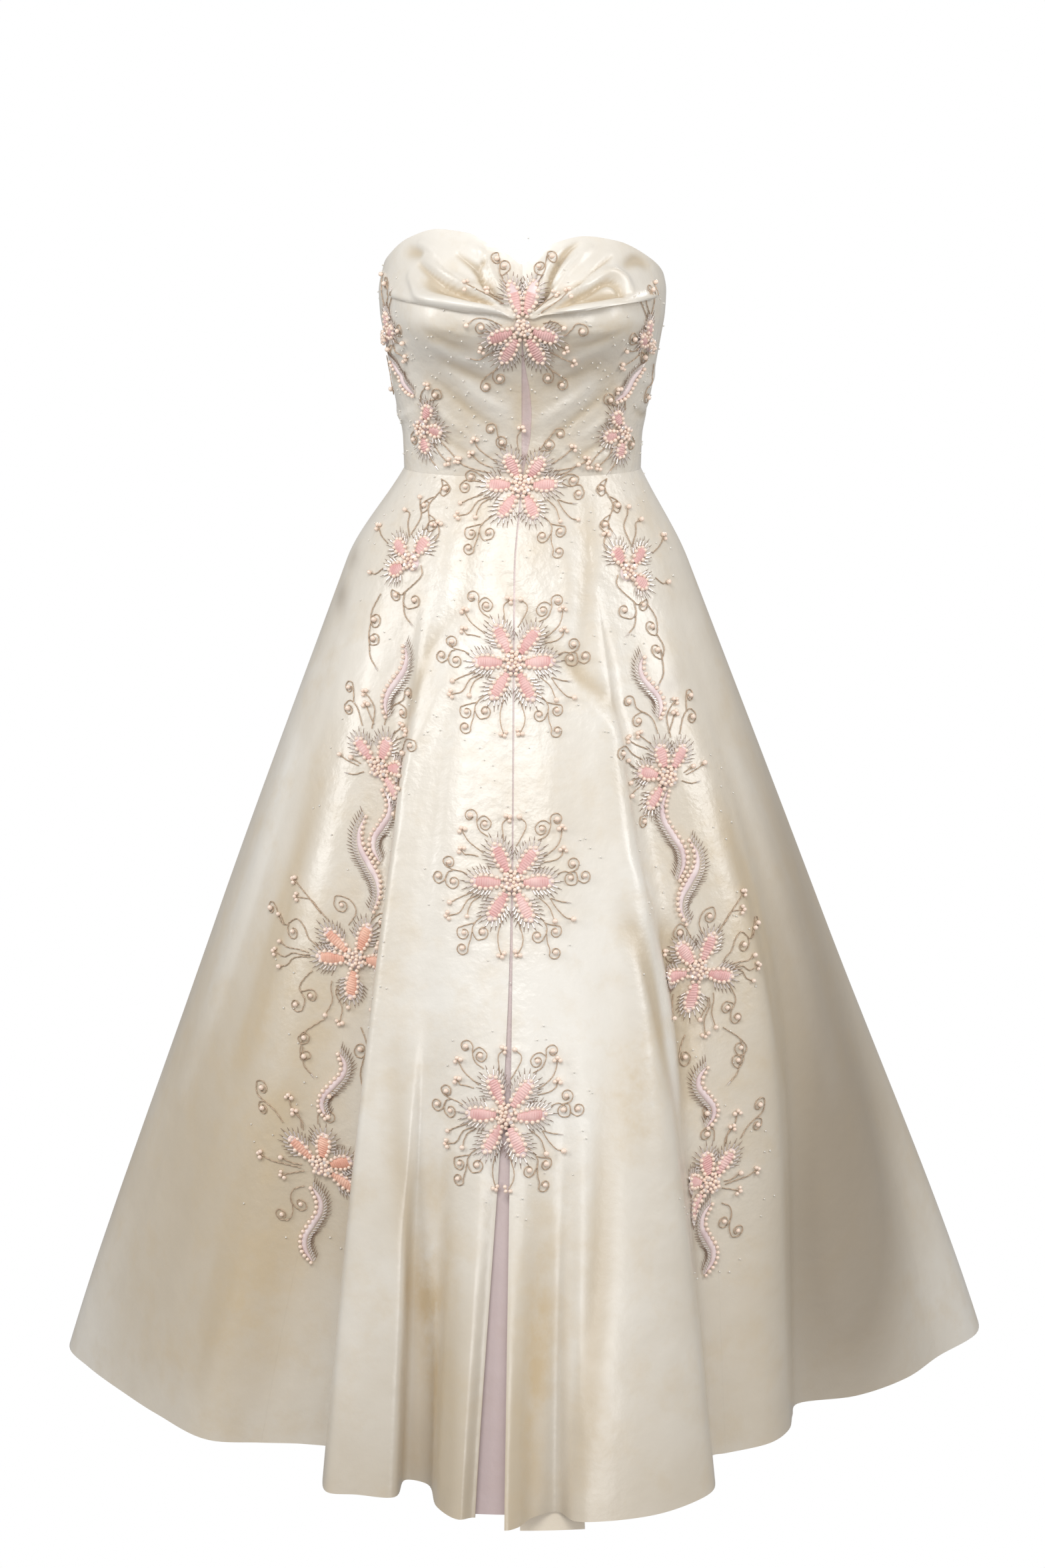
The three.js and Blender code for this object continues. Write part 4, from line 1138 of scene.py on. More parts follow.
def rod_form(sides, tip):
    """A rod from 0 to 1 along x with closed ends; tip is how wide its far end is."""
    points = []
    for x, radius in ((0, 1), (1, tip)):
        for k in range(sides):
            turn = math.tau * k / sides
            points.append((x, radius * math.cos(turn), radius * math.sin(turn)))
    faces = [(k, (k + 1) % sides, sides + (k + 1) % sides, sides + k) for k in range(sides)]
    faces = [face[::-1] for face in faces]
    faces.append(tuple(range(sides)))
    faces.append(tuple(reversed(range(sides, 2 * sides))))
    return np.array(points, float), faces


def stone_form():
    """A cut stone: eight sides, a small flat table on top."""
    points = [
        (reach * math.cos(math.tau * (k + turn) / 8), reach * math.sin(math.tau * (k + turn) / 8), up)
        for reach, up, turn in ((1, 0, 0), (0.62, 0.55, 0.5))
        for k in range(8)
    ]
    faces = []
    for k in range(8):
        after = (k + 1) % 8
        faces += [(k, after, 8 + k), (after, 8 + after, 8 + k)]
    faces.append(tuple(range(8, 16)))
    faces.append(tuple(reversed(range(8))))
    return np.array(points, float), faces


BALL = ball_form(6, 8)
SEED = ball_form(3, 5)
BUGLE = rod_form(6, 0.92)
SPIKE = rod_form(4, 0.3)
STONE = stone_form()

CHANCE_START = 7
chance = np.random.default_rng(CHANCE_START)


def laid(line, plan, out=0.0):
    """Points of a plan on the gown's face, and the face's normals, from a line."""
    plan = np.asarray(plan, float)
    height = plan[..., 1]
    points, normal = on_face(plan[..., 0] + line_across(line, height), height)
    return points + normal * np.asarray(out, float)[..., None], normal


def on_axes(line, plan, ahead, out):
    """Places on the face with axes ahead, aside and outwards, ahead given in the plan."""
    points, normal = laid(line, plan, out)
    further, _ = laid(line, np.asarray(plan) + np.asarray(ahead) * 0.5, out)
    along = further - points
    along -= normal * np.sum(along * normal, -1, keepdims=True)
    along /= np.maximum(np.linalg.norm(along, axis=-1, keepdims=True), 1e-9)
    return points, along, np.cross(normal, along), normal


def evenly_along(path, spacing):
    """Places and directions at an even spacing along a drawn path."""
    steps = np.linalg.norm(np.diff(path, axis=0), axis=1)
    arcs = np.concatenate([[0], np.cumsum(steps)])
    count = max(2, int(round(arcs[-1] / spacing)) + 1)
    at = np.linspace(0, arcs[-1], count)
    places = np.stack([np.interp(at, arcs, path[:, k]) for k in (0, 1)], -1)
    ahead = np.gradient(places, axis=0)
    return places, ahead / np.maximum(np.linalg.norm(ahead, axis=1, keepdims=True), 1e-9)


PEARL_SIZE = 2.05
PEARL_GAP = 4.9
CORD_SIZE = 0.6
CORD_STEP = 1.7
CORD_TWIST = 0.85  # how far the section turns at each step, in radians
CORD_FLATNESS = 0.62
CURL_REACH = 6.2
CURL_END = 2.9
CURL_TURN = 340
BEAD_LIFT = 0.6


def add_pearls(pile, line, plan, size=PEARL_SIZE, out=BEAD_LIFT):
    plan = np.asarray(plan, float).reshape(-1, 2)
    if not len(plan):
        return
    grown = size * chance.uniform(0.88, 1.1, len(plan))
    places, along, aside, normal = on_axes(line, plan, np.array([1.0, 0.0]), out + grown * 0.8)
    pile.stamp(BALL, places, along, aside, normal, grown[:, None])


def add_rods(pile, form, line, plan, ahead, length, radius, out, tilt):
    """Bugle beads or spikes lying along a direction, their far ends tilted up."""
    plan = np.asarray(plan, float).reshape(-1, 2)
    ahead = np.broadcast_to(np.asarray(ahead, float), plan.shape)
    places, along, aside, normal = on_axes(line, plan, ahead, out)
    lean = np.radians(tilt) * chance.uniform(0.4, 1.4, len(plan))[:, None]
    pointing = along * np.cos(lean) + normal * np.sin(lean)
    above = normal * np.cos(lean) - along * np.sin(lean)
    lengths = np.broadcast_to(np.asarray(length, float), len(plan))
    sizes = np.stack([lengths, np.full(len(plan), radius), np.full(len(plan), radius)], -1)
    pile.stamp(form, places, pointing, aside, above, sizes)


def add_cord(pile, line, path, size=CORD_SIZE, out=BEAD_LIFT):
    """A two-strand cord along a drawn path, its flattened section turning as it goes."""
    places, ahead = evenly_along(path, CORD_STEP)
    centre, along, aside, normal = on_axes(line, places, ahead, out + size * 0.6)
    count = len(places)
    turn = np.arange(count) * CORD_TWIST
    round_it = np.arange(6) / 6 * math.tau
    wide = size * np.cos(round_it)[None]
    thin = size * CORD_FLATNESS * np.sin(round_it)[None]
    c, s = np.cos(turn)[:, None], np.sin(turn)[:, None]
    left = wide * c - thin * s
    up = wide * s + thin * c
    points = centre[:, None] + aside[:, None] * left[..., None] + normal[:, None] * up[..., None]
    number = np.arange(count * 6).reshape(count, 6)
    turned = np.roll(number, -1, axis=1)
    quads = np.stack([number[:-1], turned[:-1], turned[1:], number[1:]], -1).reshape(-1, 4)
    pile.add(points, quads[:, ::-1])


def curl_path(points, centre):
    """A path that ends in a curl round a centre."""
    points = np.array(points, float)
    away = points[-1] - centre
    points[-1] = centre + away * max(1, CURL_REACH / np.linalg.norm(away))
    path = smooth_path(points, 6)
    start = path[-1] - centre
    heading = path[-1] - path[-3]
    side = np.sign(start[0] * heading[1] - start[1] * heading[0]) or 1.0
    turned = np.linspace(0, math.radians(CURL_TURN), 20)[1:]
    first = math.atan2(start[1], start[0])
    reach = np.linalg.norm(start)
    reaches = reach + (CURL_END - reach) * (turned / turned[-1]) ** 0.8
    angles = first + side * turned
    spiral = np.stack([np.cos(angles), np.sin(angles)], -1) * reaches[:, None] + centre
    return np.vstack([path, spiral])


def add_tendril(piles, line, move, row):
    """One tendril: how it ends, its points, and a curl's centre."""
    end, points = row[0], move(row[1])
    if end == "curl":
        centre = move([row[2]])[0]
        add_cord(piles["cord"], line, curl_path(points, centre))
        add_pearls(piles["pearls"], line, [centre], 2.5)
        return
    path = smooth_path(points, 6)
    add_cord(piles["cord"], line, path)
    heading = path[-1] - path[-3]
    heading = heading / max(np.linalg.norm(heading), 1e-6)
    aside = np.array([-heading[1], heading[0]])
    if end == "pearl":
        add_pearls(piles["pearls"], line, [path[-1] + heading * 1.8], 2.4)
    if end == "three":
        spread = [heading * 2.6, heading * 0.2 + aside * 2.8, heading * 0.2 - aside * 2.8]
        add_pearls(piles["pearls"], line, [path[-1] + s for s in spread], 2.1)
    if end == "bare":
        add_rods(
            piles["beads"], SPIKE, line, [path[-1]], heading, length=5, radius=0.7, out=1.2, tilt=8
        )


# Tendrils round a flower, from its middle: how they end, points, and the centre of a curl
CENTRE_TENDRILS = [
    ("curl", [(-23, 40), (-30.5, 45), (-33.4, 52), (-33, 58)], (-39.7, 58)),
    ("curl", [(-33, 53.5), (-29, 57.5), (-24.7, 57), (-22.4, 52)], (-26, 50.6)),
    ("curl", [(23.6, 37), (31.6, 41), (35, 49), (34.5, 56)], (40.8, 54.6)),
    ("curl", [(34.5, 51), (29, 54), (23.6, 52), (23, 47.7)], (26.8, 46.6)),
    ("three", [(-8, 34), (-9.2, 43), (-9.8, 51), (-5.2, 55.2)]),
    ("pearl", [(3.5, 31.6), (6.3, 36), (12, 46.6), (12, 52), (7.7, 55.5)]),
    ("three", [(-27, 26), (-39.7, 35), (-45, 42), (-46.6, 45)]),
    ("three", [(-31.6, 23), (-39.7, 24.7), (-44, 24.7), (-47, 28)]),
    ("three", [(28, 23), (34, 26), (42, 33), (45, 41), (45.4, 46)]),
    ("three", [(29, 18), (39.7, 20), (45.4, 23.6), (46.6, 27.6)]),
    ("curl", [(-42, 8), (-47.7, 10.4), (-55.8, 12), (-62.7, 15.5), (-62.7, 19)], (-58.3, 17.6)),
    ("curl", [(-55, 11), (-59.2, 9.2), (-62, 3), (-67.3, 0)], (-68.4, 5.2)),
    ("curl", [(-59.5, 9), (-61.5, 5), (-61, -0.6), (-57, -3.4)], (-54, 1.2)),
    ("curl", [(42, 8), (48, 10), (53, 9), (60, 11.5), (60.5, 16)], (55.8, 16)),
    ("curl", [(54, 9.5), (59, 8.5), (61, 2), (66.5, 0)], (67.3, 5.2)),
    ("curl", [(59, 8.6), (60.5, 4), (59.5, -1), (56, -2)], (53.5, 4)),
    ("pearl", [(-36, -7.5), (-47.7, -12), (-55.5, -16)]),
    ("three", [(-30.5, -9.8), (-40.8, -14.4), (-47.7, -24.7), (-58, -28)]),
    ("pearl", [(-28, -11), (-36, -15.5), (-39.7, -22), (-40.8, -27)]),
    ("bare", [(36, -12.7), (44, -15.5), (50, -16.5)]),
    ("pearl", [(35, -12.7), (40.8, -21), (49, -29), (55, -31)]),
    ("pearl", [(24.7, -12), (34, -20), (39, -31)]),
    ("curl", [(-24, -26), (-32.8, -32.8), (-36, -40), (-32, -48), (-27, -47.5)], (-26.5, -42)),
    ("curl", [(-34, -34), (-41, -35.6), (-49, -38)], (-43.7, -42.6)),
    ("curl", [(-36, -40), (-37.5, -48), (-39.5, -54), (-40.5, -58.5)], (-45, -55.8)),
    ("curl", [(22, -26), (30, -33), (32.6, -40), (28.4, -48)], (23.8, -45)),
    ("curl", [(31, -34), (37, -35.5), (44, -37)], (40.3, -41.4)),
    ("curl", [(32, -40), (33, -50), (35.5, -57), (36, -61)], (40.5, -59.2)),
    ("three", [(-7, -26), (-12, -41), (-12, -52), (-9.2, -61)]),
    ("three", [(4, -28), (10.4, -45), (9.8, -54), (6.3, -60)]),
]
WAIST_TENDRILS = [
    ("curl", [(-14, 33), (-22, 44), (-24, 52), (-25.5, 57)], (-30, 53.5)),
    ("curl", [(-16, 34), (-24, 38), (-23.5, 44)], (-19.4, 41.4)),
    ("curl", [(15, 33), (24, 44), (29, 50), (31, 53)], (35.5, 48.8)),
    ("curl", [(17, 33), (26, 34), (29, 38)], (24.4, 38.7)),
    ("three", [(-24, 22), (-36, 30), (-43, 36), (-45.5, 42)]),
    ("three", [(-28, 17), (-40, 21), (-49, 29)]),
    ("three", [(-30, 12), (-46, 15), (-58, 19), (-62, 23)]),
    ("three", [(27, 20), (38, 27), (48, 35)]),
    ("three", [(30, 14), (46, 16), (58, 20), (62, 23)]),
    ("pearl", [(30, 10), (42, 12), (52, 18)]),
    ("three", [(-4, 34), (-5, 46), (-1, 54)]),
    ("curl", [(-36, 6), (-42, 11), (-49, 14), (-54, 12)], (-49, 8)),
    ("curl", [(-38, 3), (-46, 4), (-55, 4), (-60, -1)], (-54, -2)),
    ("curl", [(36, 6), (42, 10), (49, 10), (54, 7)], (48.5, 4)),
    ("curl", [(38, 2), (46, -1), (56, 0), (61, -6)], (55, -8)),
] + CENTRE_TENDRILS[16:28]
BUST_TENDRILS = [
    ("curl", [(-14, 30), (-18.3, 42), (-21.7, 50), (-21, 57), (-23, 66)], (-24.4, 61.5)),
    ("curl", [(-20.5, 46), (-15.5, 49), (-13, 53)], (-17.2, 55.5)),
    ("curl", [(14, 30), (17.4, 42), (21, 50), (22, 58), (24, 67)], (26.9, 62.3)),
    ("curl", [(19, 45), (14.4, 47), (12.6, 51.5)], (16.8, 53.8)),
    ("three", [(-18, 22), (-31, 28), (-43, 33), (-52, 37)]),
    ("three", [(-14, 24), (-24, 29), (-34, 33)]),
    ("three", [(12.6, 15), (22, 23), (31, 30)]),
    ("three", [(15, 12), (28, 20), (37, 26), (43, 31)]),
    ("pearl", [(-20, 2), (-33, 8), (-44, 9), (-52, 4)]),
    ("curl", [(-28, -4), (-34, -3), (-38, -4)], (-40, 1)),
    ("pearl", [(20, 4), (30, 6), (38.5, 1.5)]),
    ("curl", [(26, -6), (38, -7), (46, -2), (51, 4), (57, 3)], (56.6, -2.3)),
    ("three", [(-17, -12), (-28, -15), (-38, -20)]),
    ("bare", [(-14, -20), (-30, -24), (-40, -30), (-49, -28.6)]),
    ("three", [(17, -12), (29, -15), (40, -20)]),
    ("three", [(15, -20), (28, -24), (38, -29), (47, -32)]),
    ("curl", [(-13, -32), (-24, -38), (-28, -46), (-25, -52)], (-21.2, -48)),
    ("curl", [(-25, -40), (-33, -46), (-38, -52)], (-34, -56.6)),
    ("curl", [(13, -32), (24, -37), (29, -45), (27, -51)], (23.5, -47.5)),
    ("curl", [(25, -39), (34, -45), (41, -50)], (37, -55)),
]
# Drawn for a flower on the wearer's right; on the left they are turned over
SIDE_LOW_TENDRILS = [
    ("three", [(-18, 34), (-27, 45), (-33, 51), (-47, 51)]),
    ("three", [(-24, 40), (-34, 52), (-43, 60), (-50, 65)]),
    ("curl", [(-2.4, 31), (4.8, 43), (1.2, 53.6), (-9.5, 57), (-12.5, 50)], (-6, 48.8)),
    ("curl", [(-28, 8), (-31, 12), (-37, 16.7), (-40.5, 26), (-47.6, 32), (-57, 27)], (-52, 20)),
    ("curl", [(-58, 25), (-65.5, 25), (-71, 31), (-73, 36), (-77, 40)], (-80, 35)),
    ("pearl", [(-64, 25), (-66, 29), (-68.4, 31)]),
    ("pearl", [(-38, 4), (-47.6, 5.4), (-59.5, 5.4), (-66.5, 8)]),
    ("three", [(-36, 2), (-45, 1.2), (-53.6, 1.2), (-63, -3.6), (-74, -1.5)]),
    ("pearl", [(-37, 0), (-45, -0.6), (-53.6, -3.6), (-59.5, -10), (-67, -13)]),
    ("curl", [(-36, -12), (-43, -19), (-48.8, -28.6), (-45, -38), (-47, -46)], (-53, -44)),
    ("curl", [(-48, -32), (-43, -30), (-38, -29)], (-39.3, -34.5)),
    ("pearl", [(-21, -20), (-22.6, -27), (-22.6, -38), (-29, -50)]),
    ("three", [(-17, -24), (-19, -32), (-15.5, -44), (-19, -57)]),
    ("pearl", [(-15, -24), (-16.7, -31), (-13, -37), (-11, -42)]),
    ("curl", [(12, 30), (20, 40), (28, 44), (33, 38)], (27, 36)),
    ("three", [(30, 10), (38, 14), (43, 20)]),
    ("pearl", [(24, -18), (30, -28), (33, -36)]),
]
SIDE_FOUR_TENDRILS = [
    ("three", [(-6, 36), (-5, 46), (-10, 54), (-10, 63)]),
    ("three", [(-5, 34), (-4, 42), (-8, 50)]),
    ("curl", [(-20, 40), (-25, 50), (-33, 56), (-39, 55)], (-36, 50)),
    ("curl", [(-33, 56), (-41, 62), (-40, 72), (-35, 74)], (-34, 68)),
    ("three", [(-16, -1), (-28, 2), (-38, 4), (-47, 8)]),
    ("pearl", [(-14, 2), (-21, 3), (-28, 7)]),
    ("three", [(-14, -4), (-24, -6), (-32, -8)]),
    ("curl", [(-18, -18), (-28, -22), (-33, -32), (-30, -40)], (-26, -35)),
    ("curl", [(-32, -28), (-34, -41), (-40, -50), (-47, -50)], (-44, -45)),
    ("curl", [(8, 40), (11, 50), (19, 53), (23, 49)], (18, 47)),
    ("curl", [(12, 51), (17, 60), (25, 64), (28, 70)], (23, 66)),
]
SIDE_TWO_TENDRILS = [
    ("three", [(-1, 36), (3, 53), (0, 62), (-4, 67)]),
    ("three", [(1, 40), (-2, 49), (-4, 56)]),
    ("curl", [(-9, 38), (-12.4, 53), (-19, 59), (-25, 55)], (-20.9, 51.3)),
    ("curl", [(-16, 57), (-15.5, 66), (-17, 74)], (-20, 70)),
    ("three", [(14, 30), (21, 36), (26, 40)]),
    ("three", [(18, 27), (29, 32), (37, 37)]),
    ("curl", [(22, 18), (32, 24), (41, 32), (49, 31)], (46.5, 26.5)),
    ("pearl", [(24, 10), (32, 14), (37, 18)]),
    ("pearl", [(26, 2), (32, 1), (35, 0)]),
    ("pearl", [(24, -6), (31, -9), (35, -11)]),
    ("curl", [(10, 40), (15, 53), (23, 60), (29, 58)], (27.5, 52.3)),
    ("curl", [(20, 58), (29, 64), (32, 71)], (36.5, 70.3)),
    ("pearl", [(-14, 4), (-17, 6), (-20, 7.6)]),
    ("pearl", [(-16, 2), (-26, 6), (-31, 9)]),
    ("bare", [(-12, -3), (-20, -6), (-25, -5.7)]),
    ("curl", [(8, -24), (15, -30), (23, -32)], (19.6, -36.5)),
]
SIDE_ONE_TENDRILS = [
    ("pearl", [(-4, 22), (-8, 33), (-8.2, 42), (-12, 44)]),
    ("pearl", [(-3, 24), (4, 40), (1, 50), (0.4, 55)]),
    ("curl", [(9, -2), (9, -12), (-6, -27), (-10, -30), (-18, -26)], (-14.4, -31)),
    ("curl", [(-6, -27), (-8, -37), (-4, -42), (4, -40)], (3, -34)),
    ("bare", [(-8, -36), (-7, -48), (-2, -55)]),
    ("three", [(-26, 14), (-36, 20), (-42, 26)]),
    ("three", [(18, 18), (22, 26), (21, 34)]),
    ("pearl", [(-28, -8), (-36, -14), (-41, -14)]),
]
BODICE_ONE_TENDRILS = [
    ("pearl", [(-1, 26), (-6, 40), (-5, 50), (-4, 56)]),
    ("curl", [(2, 30), (9, 40), (11, 50), (7, 56)], (6, 50)),
    ("bare", [(6, 26), (14, 36), (20, 44)]),
    ("curl", [(12, 4), (20, 4), (29, 3), (31, 9)], (26, 9)),
    ("pearl", [(14, 0), (24, -4), (33, -3)]),
    ("three", [(12, -4), (24, -12), (37, -18)]),
    ("curl", [(4, -8), (6, -14), (12, -17)], (12, -11.5)),
    ("curl", [(-6, -20), (-2, -34), (6, -42), (10, -50)], (5, -52)),
]
BODICE_TWO_TENDRILS = [
    ("three", [(0, 22), (1, 32), (7, 41)]),
    ("curl", [(4, 24), (10, 27), (20, 30), (19, 36)], (15.4, 33)),
    ("curl", [(-6, -4), (-10, -5), (-14, -9)], (-9.5, -12.6)),
    ("three", [(10, -12), (18, -24), (25, -31)]),
    ("three", [(14, -8), (26, -20), (33, -29)]),
    ("bare", [(6, -18), (8, -28), (14, -36)]),
]

VINE_TOP = -4
VINE_PITCH = 16
VINE_SWAY = 4
VINE_CURL = [(0, 0), (7, 3), (13, 9), (9, 14)]  # its points, out from the stem and down
VINE_CURL_CENTRE = (8, 9)


def waist_vine(across, turn):
    """A wavy stem down from the waist with a curl to either side in turn."""

    def stem_point(k):
        return (across + turn * VINE_SWAY * math.sin(math.pi * k), VINE_TOP - VINE_PITCH * k)

    rows = [("bare", [stem_point(k) for k in np.arange(7) / 2])]
    for k in range(3):
        side = turn * (-1) ** k
        top = VINE_TOP - VINE_PITCH * k
        curl = [(across + out * side, top - down) for out, down in VINE_CURL]
        out, down = VINE_CURL_CENTRE
        rows.append(("curl", curl, (across + out * side, top - down)))
    return rows


# Vines between the flowers: the line they are placed from, then rows like the tendrils', as
# across and height
VINES = [
    ("seam_right", waist_vine(8, 1) + [
        ("curl", [(-24, -110), (-32, -128), (-28, -140), (-22, -140)], (-26, -134)),
        ("curl", [(-30, -130), (-31, -146), (-28, -156), (-20, -156)], (-24, -151)),
        ("bare", [(-30, -148), (-26, -166), (-18, -176)]),
        ("curl", [(-20, -494), (-34, -504), (-42, -512), (-38, -518)], (-36, -512)),
        ("curl", [(-36, -506), (-38, -522), (-34, -532), (-28, -530)], (-32.7, -529)),
        ("bare", [(-36, -520), (-32, -536), (-23, -545)]),
        ("curl", [(16, -500), (24, -512), (28, -522), (22, -528)], (20, -520)),
        ("bare", [(26, -520), (24, -540), (28, -552)]),
    ]),
    ("seam_left", waist_vine(18, -1) + [
        ("curl", [(40, -118), (46, -132), (42, -146), (36, -146)], (38, -139)),
        ("curl", [(42, -146), (46, -158), (40, -168), (34, -166)], (37, -160)),
        ("bare", [(42, -160), (38, -180), (30, -190)]),
        ("curl", [(20, -500), (34, -510), (42, -520), (38, -527)], (35, -520)),
        ("curl", [(36, -512), (38, -528), (32, -538), (27, -536)], (31, -531)),
        ("bare", [(36, -526), (30, -542), (22, -550)]),
        ("curl", [(-16, -504), (-24, -516), (-28, -526), (-22, -532)], (-20, -524)),
    ]),
]

# Which tendrils each flower has, whether they are turned over, and how much they are spread across
TENDRILS = {
    "flower_centre_1": (BUST_TENDRILS, 1, 1.0),
    "flower_centre_2": (WAIST_TENDRILS, 1, 1.0),
    "flower_centre_3": (CENTRE_TENDRILS, 1, 1.0),
    "flower_centre_4": (CENTRE_TENDRILS, 1, 1.0),
    "flower_centre_5": (CENTRE_TENDRILS, 1, 1.0),
    "flower_bodice_right_1": (BODICE_ONE_TENDRILS, 1, 1.35),
    "flower_bodice_right_2": (BODICE_TWO_TENDRILS, 1, 1.25),
    "flower_bodice_left_1": (BODICE_ONE_TENDRILS, -1, 1.35),
    "flower_bodice_left_2": (BODICE_TWO_TENDRILS, -1, 1.25),
    "flower_right_1": (SIDE_ONE_TENDRILS, 1, 1.2),
    "flower_right_2": (SIDE_TWO_TENDRILS, 1, 1.2),
    "flower_right_3": (SIDE_LOW_TENDRILS, 1, 1.2),
    "flower_right_4": (SIDE_FOUR_TENDRILS, 1, 1.2),
    "flower_left_1": (SIDE_ONE_TENDRILS, -1, 1.2),
    "flower_left_2": (SIDE_TWO_TENDRILS, -1, 1.2),
    "flower_left_3": (SIDE_LOW_TENDRILS, -1, 0.85),
    "flower_left_4": (SIDE_FOUR_TENDRILS, -1, 0.95),
}

# Petals of the flower between the cups: direction, foot, reach, share of it that is corded
BUST_PETALS = [
    (107, 13, 44, 0.62), (73, 13, 44, 0.62), (199, 11, 36, 0.85), (343, 11, 36, 0.85),
    (239, 12, 39, 0.85), (300, 12, 39, 0.85),
]
PETAL_FOOT = 10.5
HUB_REACH = 8
PETAL_HALF_WIDTH = 6.3
PETAL_SHARE = 0.74  # of a flower's radius, the rest is fringe
PETAL_HEIGHT = 3.2
TIP_SHARE = 0.82  # past this much of its length a petal is plain lilac satin
CORDED_WIDTH = 0.7  # and past this share of its half width
RIB_PITCH = 2.2
PAD_STEP = 0.42
PAD_COLUMNS = 9
FRINGE_GAP = 3.0


def petal_outline(share):
    """Half width of a petal along its length, as a share of its greatest."""
    return np.clip(np.sin(np.pi * (0.12 + 0.8 * np.clip(share, 0, 1) ** 1.3)) ** 0.62, 0.05, 1)


def add_petal(piles, line, middle, angle, foot, reach, corded):
    """A padded petal with cords across it, a satin tip, pearls round it and a fringe beyond."""
    ahead = np.array([math.cos(math.radians(angle)), math.sin(math.radians(angle))])
    aside = np.array([-ahead[1], ahead[0]])
    length = reach - foot
    rows = int(length / PAD_STEP)
    along, over = np.meshgrid(
        np.linspace(0, 1, rows), np.linspace(-1, 1, PAD_COLUMNS), indexing="ij"
    )
    half = PETAL_HALF_WIDTH * petal_outline(along)
    plan = (
        np.asarray(middle)
        + ahead * (foot + length * along)[..., None]
        + aside * (half * over)[..., None]
    )
    dome = PETAL_HEIGHT * np.sqrt(np.clip(1 - over**2, 0, 1)) * np.sin(
        np.pi * np.clip(0.12 + 0.8 * along, 0, 1)
    ) ** 0.5
    ribs = 0.8 * np.abs(np.sin(np.pi * length * along / RIB_PITCH)) * np.clip(1 - over**4, 0, 1)
    ribs = np.where((along < corded) & (np.abs(over) < CORDED_WIDTH), ribs, 0)
    points, _ = laid(line, plan, 0.2 + dome + ribs)
    quads = grid_quads(rows, PAD_COLUMNS)
    beside = np.abs(over[:-1, :-1] + over[:-1, 1:]) / 2
    ribbed = (along[:-1, :-1] < corded) & (beside < CORDED_WIDTH)
    start = piles["stitch"].count
    piles["stitch"].add(points, quads[ribbed], 0)
    piles["stitch"].cover(quads[~ribbed], start, 1)

    edge = np.linspace(-1, 1, 80)
    share = 1 - np.abs(edge)
    side = np.sign(edge)
    wide = (PETAL_HALF_WIDTH * petal_outline(share) - 0.5) * side
    blend = np.clip((share - 0.86) / 0.14, 0, 1)
    wide = wide * np.cos(blend * math.pi / 2)
    far = foot - 1 + length * share
    outline = np.asarray(middle) + ahead * far[:, None] + aside * wide[:, None]
    places, _ = evenly_along(outline, PEARL_GAP)
    add_pearls(piles["pearls"], line, places)

    centre = np.asarray(middle) + ahead * (foot + length * 0.4)
    places, heading = evenly_along(outline, FRINGE_GAP)
    away = np.stack([heading[:, 1], -heading[:, 0]], -1)
    away = away * np.where(np.sum((places - centre) * away, -1) < 0, -1, 1)[:, None]
    kept = np.sum((places - centre) * ahead, -1) > -4
    places, away = places[kept], away[kept]
    away = away + ahead * 0.75
    away = away / np.linalg.norm(away, axis=1, keepdims=True)
    add_rods(
        piles["beads"], BUGLE, line, places + away * 1.9, away,
        length=5.0, radius=0.8, out=1.2, tilt=9,
    )
    lengths = 6.6 * chance.uniform(0.75, 1.2, len(places))
    turned = away + chance.uniform(-0.16, 0.16, away.shape)
    add_rods(
        piles["spikes"], SPIKE, line, places + away * 4.8, turned,
        length=lengths, radius=0.55, out=1.2, tilt=6,
    )


GOLDEN_ANGLE = 2.39996  # radians from one pearl of the spiral to the next
STONES = [(40, 0.86), (130, 0.9), (215, 0.8), (322, 0.9)]  # direction, share of the reach
STONE_SIZE = 2.3


def add_cluster(piles, line, middle, reach, count):
    """The pearls and cut stones crowded at a flower's middle."""
    steps = np.arange(count)
    angle = steps * GOLDEN_ANGLE
    out = reach * np.sqrt((steps + 0.5) / count)
    plan = np.asarray(middle) + np.stack([np.cos(angle), np.sin(angle)], -1) * out[:, None]
    add_pearls(piles["pearls"], line, plan, size=2.1, out=2.2)
    for turn, far in STONES:
        a = math.radians(turn)
        at = np.asarray(middle) + np.array([math.cos(a), math.sin(a)]) * reach * far
        places, along, aside, normal = on_axes(line, at[None], np.array([1.0, 0.0]), 4.0)
        piles["beads"].stamp(STONE, places, along, aside, normal, STONE_SIZE)


def new_piles():
    return {key: Pile() for key in ("stitch", "pearls", "beads", "spikes", "cord")}


def finish_piles(name, piles, stitch, replaced):
    """A motif's meshes. Its stitches take the place of its solid."""
    piles["stitch"].piece(name + "_stitch", stitch, "flower_embroidery", 60, replaced)
    piles["pearls"].piece(name + "_pearls", [PEARL], "pearl", 70)
    piles["beads"].piece(name + "_beads", [SILVER], "glass_bead", 30)
    piles["spikes"].piece(name + "_spikes", [TAUPE], "glass_bead", 30)
    piles["cord"].piece(name + "_cord", [CORD], "metal_cord", 80)


SALMON_FLOWERS = ("flower_right_3", "flower_right_4")
HUB_POINTS = 20


